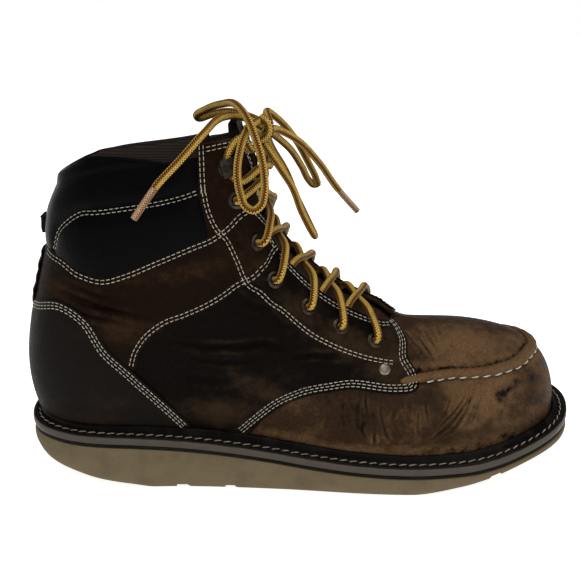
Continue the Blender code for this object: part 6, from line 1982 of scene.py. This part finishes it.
@dataclass
class Lace:
    """The lace: crossings, risers, the bow and its ends."""

    hardware: Hardware
    radius: float = 0.5 * LACE_WIDTH
    sides: int = 16
    tip_length: float = 18.0 * MM
    riser_edge: float = 4.06

    def route(self, points: Route) -> Array:
        """A route's points in the foot's frame."""
        return np.array(points) * (FORM.length, FORM.ball_width, FORM.shaft_height)

    def rope(self, name: str, paths: Sequence[Array], radius: float, finish: Finish) -> bpy.types.Object:
        """Round cords along one or more paths, as one mesh with its run and turn as UV."""
        tubes = [tube_points(path, radius, self.sides) for path in paths]
        made = boot_mesh(name, *gathered([tube[:2] for tube in tubes]))
        layer = made.data.uv_layers.new(name="run")
        layer.data.foreach_set("uv", np.concatenate([tube[2] for tube in tubes]).astype(np.float32).ravel())
        dressed(made, finish)
        made.data.shade_smooth()
        return made

    def strand(self, number: int, start_side: int, lift: float) -> Array:
        """Route of one strand of a crossing.

        Args:
            number: which crossing, counted from the toe.
            start_side: -1 from the lateral eyelet, 1 from the medial one.
            lift: how high it passes over the middle.
        Returns:
            Its points.
        """
        radius = self.radius
        u, v = EYELETS[number - 1]
        panel = (1.2, 1.7)[number > 4] * MM
        last = number == len(EYELETS)
        here = self.hardware.edge_station((u, v))
        beyond = self.hardware.edge_station(HOOK if last else EYELETS[number])

        def side(station: float) -> float:
            """A station on the strand's own side."""
            return station if start_side < 0 else LOOP - station

        def far(station: float) -> float:
            """A station on the other side."""
            return LOOP - station if start_side < 0 else station

        hole, out, _, _ = self.hardware.seat(side(u), v, GAP + panel + SEAT + 0.6 * MM)
        deep = hole - out * 3.2 * MM
        bend = hole + out * 1.5 * radius
        edge_u = side(0.70 * here + 0.30 * beyond)
        edge_out = FORM.normal(edge_u, 1.0)
        edge = FORM.surface(edge_u, 1.0) + edge_out * (GAP + panel + radius + 1.0 * MM)
        if last:
            rim_u = far(0.30 * here + 0.70 * beyond)
            rim_out = FORM.normal(rim_u, 1.0)
            rim = FORM.surface(rim_u, 1.0) + rim_out * (GAP + 1.7 * MM + radius + 1.6 * MM)
            middle = (edge + rim) / 2 + (edge_out + rim_out) * lift
            return np.array([deep, bend, edge, middle, rim, *self.hardware.hook_path(far(HOOK[0]), -1)])
        last_u = far(0.1 * here + 0.9 * beyond)
        finish_out = FORM.normal(last_u, 1.0)
        rim = FORM.surface(last_u, 1.0)
        way = np.array([0.0, -1.0 if rim[1] > 0 else 1.0, 0.0])
        finish = rim + way * (radius + 0.6 * MM) + finish_out * 0.2 * MM
        under = rim - way * 2.5 * MM - finish_out * (WALL + 1.0 * MM)
        middle = (edge + finish) / 2 + (edge_out + finish_out) * lift
        return np.array([deep, bend, edge, middle, finish, under])

    def cord(self, name: str, node: str, path: Array, pieces: Sequence[bpy.types.Object]) -> None:
        """A free cord along a path."""
        made = self.rope(name, [path], self.radius, LACE)
        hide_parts(node)
        spots = path - FORM.centre
        length = float(np.linalg.norm(np.diff(path, axis=0), axis=1).sum())
        tuple(spots[0])
        [tuple(p) for p in spots]
        list(pieces)
        LOG.info("%s is %.1f mm long", name, length / MM)

    def build(self) -> None:
        """Crossings, risers, knot, loops and ends."""
        for number in range(1, len(EYELETS) + 1):
            paths = [smooth_path(self.strand(number, -1, 0.4 * MM), 0.9 * MM),
                     smooth_path(self.strand(number, 1, 2.2 * MM), 0.9 * MM)]
            made = self.rope(f"lace_strands_{number}", paths, self.radius, LACE)
            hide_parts(f"lace_crossing_{number}")
        for side, route, station, edge in (
                ("lateral", RISER_LATERAL_ROUTE, HOOK[0], self.riser_edge),
                ("medial", RISER_MEDIAL_ROUTE, LOOP - HOOK[0], LOOP - self.riser_edge)):
            rim = FORM.lifted(edge, 1.0, GAP + 1.7 * MM + self.radius + 0.8 * MM)
            path = np.concatenate([self.route(route), rim[None], self.hardware.hook_path(station, 1)])
            made = self.rope(f"lace_rise_{side}", [smooth_path(path, 0.9 * MM)], self.radius, LACE)
            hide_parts(f"lace_riser_{side}")
        knot = self.rope("lace_knot_wrap", [smooth_path(self.route(KNOT_ROUTE), 0.8 * MM)], self.radius, LACE)
        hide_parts("lace_knot")
        for name, route, pieces in (("low", LOOP_LOW_ROUTE, [knot]), ("near", LOOP_NEAR_ROUTE, []),
                                    ("far", LOOP_FAR_ROUTE, [])):
            path = smooth_path(self.route(route), 1.1 * MM)
            self.cord(f"loop_{name}_cord", f"bow_loop_{name}", path, pieces)
        for side, route in (("near", END_NEAR_ROUTE), ("far", END_FAR_ROUTE)):
            path = smooth_path(self.route(route), 1.0 * MM)
            run = np.cumsum(np.linalg.norm(np.diff(path, axis=0), axis=1))
            split = int(np.searchsorted(run, run[-1] - self.tip_length))
            tip = self.rope(f"tip_{side}_film", [path[split:]], 0.93 * self.radius, TIP_FILM)
            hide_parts(f"lace_tip_{side}")
            self.cord(f"end_{side}_cord", f"lace_end_{side}", path[:split + 1], [tip])


@dataclass
class Sole:
    """Outsole wedge, midsole, welt and insole."""

    columns: int = 880
    welt_thick: float = 5.5 * MM
    midsole_thick: float = 1.8 * MM
    lip_rise: float = 3.6 * MM
    lip_thick: float = 2.0 * MM
    groove_depth: float = 3.0 * MM
    grooves: tuple[tuple[float, float], ...] = ((0.287, 7.0 * MM), (0.373, 6.0 * MM), (0.838, 6.0 * MM))

    def stations(self) -> Array:
        """Stations of the columns, the same on both sides."""
        return np.arange(self.columns) * LOOP / self.columns

    def groove(self, x: Array) -> Array:
        """Share of a cross groove's depth at a length."""
        total = np.zeros_like(x)
        for along, width in self.grooves:
            gap = np.abs(x - along * FORM.length)
            total = np.maximum(total, np.clip((0.5 * width + 0.6 * MM - gap) / (1.0 * MM), 0, 1))
        return total

    def slab(self, name: str, rows: Sequence[tuple[float, Callable[[Array], Array]]], finish: Finish, node: str) -> bpy.types.Object:
        """A slab round the whole foot, closed by strips that run across it.

        Args:
            name: the piece's name.
            rows: inset and height function of each ring, from the top down.
            finish: its finish.
            node: the CAD node that it replaces.
        Returns:
            The piece.
        """
        u = self.stations()
        rings = []
        for inset, height in rows:
            level = FORM.outline(u) - FORM.outward(u)[:, :2] * inset
            rings.append(np.concatenate([level, height(level[:, 0])[:, None]], -1))
        points = np.stack(rings, 1)
        count, high = points.shape[:2]
        faces = grid_faces(count, high, closed=True)
        half = count // 2
        for row in (0, high - 1):
            for i in range(half):
                a, b = i, i + 1
                c, d = (count - b) % count, (count - a) % count
                face = [k * high + row for k in (a, b, c, d)]
                faces.append(tuple(dict.fromkeys(face)))
        made = boot_mesh(name, points, faces)
        dressed(made, finish)
        recalculated(made)
        smoothed(made, 38)
        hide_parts(node)
        return made

    def build(self) -> None:
        """The four layers."""
        def top(x: Array) -> Array:
            """Heights of the wedge's top."""
            return FORM.welt(x) - self.welt_thick - self.midsole_thick - 2 * GAP

        def share(s: float) -> Callable[[Array], Array]:
            """The wedge's height at a share of its thickness."""
            def height(x: Array) -> Array:
                """Heights there, kept over the grooves."""
                tread = FORM.tread(x)
                z = tread + s * (top(x) - tread)
                return np.maximum(z, tread + self.groove_depth * self.groove(x))
            return height

        profile = [(0.8, 1.0), (0.45, 0.93), (0.15, 0.80), (0.0, 0.62), (0.15, 0.46), (0.8, 0.30), (1.35, 0.20),
                   (2.0, 0.125), (2.8, 0.07), (3.8, 0.03), (5.5, 0.0)]
        self.slab("outsole_wedge", [(i * MM, share(s)) for i, s in profile], WEDGE, "outsole")
        low, high = -self.welt_thick - self.midsole_thick - GAP, -self.welt_thick - GAP
        self.slab("midsole_layer", [(1.5 * MM, lambda x: FORM.welt(x) + high),
                                    (1.2 * MM, lambda x: FORM.welt(x) + high - 0.3 * MM),
                                    (1.2 * MM, lambda x: FORM.welt(x) + low + 0.3 * MM),
                                    (1.5 * MM, lambda x: FORM.welt(x) + low)], MIDSOLE, "midsole")
        self.slab("insole_board", [(15.8 * MM, lambda x: FORM.welt(x) + 2.0 * MM),
                                   (15.8 * MM, lambda x: FORM.welt(x) - self.welt_thick)], INSOLE, "insole")
        self.build_welt()

    def build_welt(self) -> None:
        """The welt with its grooved side, stitch channel and standing lip."""
        u = self.stations()
        out = FORM.outward(u)
        raised = np.full_like(u, self.lip_rise / (0.6 * FORM.shaft_height))
        lip = FORM.lifted(u, raised, np.full_like(u, 0.35 * MM))
        foot = FORM.foot(u)
        rows: list[tuple[Array, float]] = []

        def at(inset: float, rise: float, band: float) -> None:
            """Add a ring inside the outline, with its rise over the welt's top."""
            level = FORM.outline(u) - out[:, :2] * inset * MM
            rows.append((np.concatenate([level, (FORM.welt(level[:, 0]) + rise * MM)[:, None]], -1), band))

        for inset, rise, band in (
                (6.0, -5.5, 0.0), (0.9, -5.5, 0.0), (0.5, -5.3, 0.03), (0.15, -4.6, 0.08), (0.0, -3.6, 0.14),
                (0.0, -2.4, 0.20), (0.1, -1.5, 0.28), (0.35, -1.05, 0.33), (0.28, -0.85, 0.36), (0.3, -0.3, 0.39),
                (0.7, 0.05, 0.42), (1.4, 0.22, 0.45), (2.2, 0.12, 0.48), (2.7, -0.35, 0.50), (3.2, -0.75, 0.53),
                (4.2, -0.8, 0.56), (4.8, -0.5, 0.58), (5.2, 0.0, 0.62)):
            at(inset, rise, band)
        lip_out = lip + out * self.lip_thick
        start = rows[-1][0]
        for t, lift, band in ((0.35, 0.9, 0.66), (0.7, 1.9, 0.72)):
            rows.append((start * (1 - t) + (lip_out - UP * 0.9 * MM) * t + UP * lift * 0.15 * MM, band))
        rows.append((lip_out - UP * 0.9 * MM + out * 0.05 * MM, 0.80))
        rows.append((lip + out * 1.55 * MM - UP * 0.1 * MM, 0.88))
        rows.append((lip + out * 0.9 * MM + UP * 0.12 * MM, 0.93))
        rows.append((lip + out * 0.25 * MM, 0.97))
        rows.append((lip - UP * 0.5 * MM, 1.0))
        rows.append((foot + out * 0.45 * MM - UP * GAP, 1.0))
        inner = foot - out * (WALL + 4 * MM)
        inner[:, 2] = FORM.welt(inner[:, 0]) - GAP
        rows.append((inner, 1.0))
        level = FORM.outline(u) - out[:, :2] * (FORM.welt_show + WALL + 4 * MM)
        rows.append((np.concatenate([level, (FORM.welt(level[:, 0]) - self.welt_thick)[:, None]], -1), 0.0))
        points = np.stack([r[0] for r in rows], 1)
        count, high = points.shape[:2]
        made = boot_mesh("welt_ring", points, grid_faces(count, high, closed=True, closed_rows=True))
        run = np.repeat((u / LOOP)[:, None], high, 1)
        band = np.repeat(np.array([r[1] for r in rows])[None], count, 0)
        set_uv(made, np.stack([run, band], -1))
        dressed(made, WELT)
        recalculated(made, merge=0.0)
        smoothed(made, 60)
        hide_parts("welt")


@dataclass
class Studio:
    """Floor, light and camera."""

    place: tuple[float, float, float] = (0.160, -0.470, 0.2755)
    target: tuple[float, float, float] = (0.1525, 0.0, 0.1035)
    roll: float = -1.5
    focal_pixels: float = 885.0
    image_pixels: float = 580.0
    sensor: float = 36.0
    sky_light: float = 0.28
    floor_glow: float = 0.80

    def light(self, name: str, spot: Sequence[float], aim: Sequence[float], size: float,
              power: float) -> None:
        """A square soft light aimed at a spot."""
        lamp = bpy.data.lights.new(name, "AREA")
        lamp.energy = power
        lamp.size = size
        made = bpy.data.objects.new(name, lamp)
        made.location = spot
        made.rotation_euler = (Vector(aim) - Vector(spot)).to_track_quat("-Z", "Y").to_euler()
        bpy.context.scene.collection.objects.link(made)

    def build(self) -> None:
        """The whole studio."""
        world = bpy.data.worlds.new("studio")
        world.use_nodes = True
        world.node_tree.nodes["Background"].inputs[0].default_value = (1.0, 1.0, 1.0, 1)
        nodes = Nodes(world.node_tree)
        seen = nodes.add("ShaderNodeLightPath").outputs["Is Camera Ray"]
        strength = nodes.plus(nodes.times(seen, 1 - self.sky_light), self.sky_light)
        world.node_tree.links.new(strength, world.node_tree.nodes["Background"].inputs[1])
        bpy.context.scene.world = world
        bpy.context.scene.view_settings.view_transform = "Standard"
        mesh = bpy.data.meshes.new("studio_floor")
        corners = [(-3, -3, -0.0002), (3, -3, -0.0002), (3, 3, -0.0002), (-3, 3, -0.0002)]
        mesh.from_pydata(corners, [], [(0, 1, 2, 3)])
        floor = bpy.data.objects.new("studio_floor", mesh)
        paper = Finish("pale floor", (0.93, 0.93, 0.93), 0.9).material()
        paper.node_tree.nodes["Principled BSDF"].inputs["Emission Color"].default_value = (1, 1, 1, 1)
        paper.node_tree.nodes["Principled BSDF"].inputs["Emission Strength"].default_value = self.floor_glow
        floor.data.materials.append(paper)
        bpy.context.scene.collection.objects.link(floor)
        self.light("top light", (0.10, -0.25, 1.30), (0.0, 0.0, 0.05), 1.3, 13.0)
        self.light("front light", (0.35, -1.3, 0.75), (0.0, 0.0, 0.08), 0.8, 4.5)
        eye = Vector(Vector(self.place) - Vector(FORM.centre))
        aim = Vector(Vector(self.target) - Vector(FORM.centre))
        data = bpy.data.cameras.new("camera")
        data.sensor_width = data.sensor_height = self.sensor
        data.lens = self.focal_pixels / self.image_pixels * self.sensor
        data.clip_start = 0.01
        made = bpy.data.objects.new("camera", data)
        forward = (aim - eye).normalized()
        right = forward.cross(Vector((0, 0, 1))).normalized()
        up = right.cross(forward)
        a = math.radians(self.roll)
        right, up = right * math.cos(a) + up * math.sin(a), up * math.cos(a) - right * math.sin(a)
        turn = Matrix((right, up, -forward)).transposed().to_4x4()
        made.matrix_world = Matrix.Translation(eye) @ turn
        bpy.context.scene.collection.objects.link(made)
        bpy.context.scene.camera = made


def add_stitch_troughs() -> None:
    """Press a shallow trough under every double and triple stitch row, on both sides."""
    for line, width in ((COUNTER_EDGE, 2.6), (COLLAR_LINE[:-1] + FACING_FOOT, 1.5), (SADDLE_TOP, 1.5),
                        (SADDLE_FRONT, 2.4), (STAY_STITCH, 1.4)):
        for turn in (list, other_side):
            RELIEF.add(turn(line), 0.24 * MM, width * MM, False)


def main() -> None:
    """Build every sub-assembly in order."""
    logging.basicConfig(level=logging.INFO, format="%(message)s")
    add_stitch_troughs()
    hardware = Hardware()
    Studio().build()
    Lace(hardware).build()
    Sole().build()
    Upper().build()
    Tongue().build()
    Collar().build()
    Panels().build()
    Stitching().build()
    hardware.build()


if __name__ == "__main__":
    main()
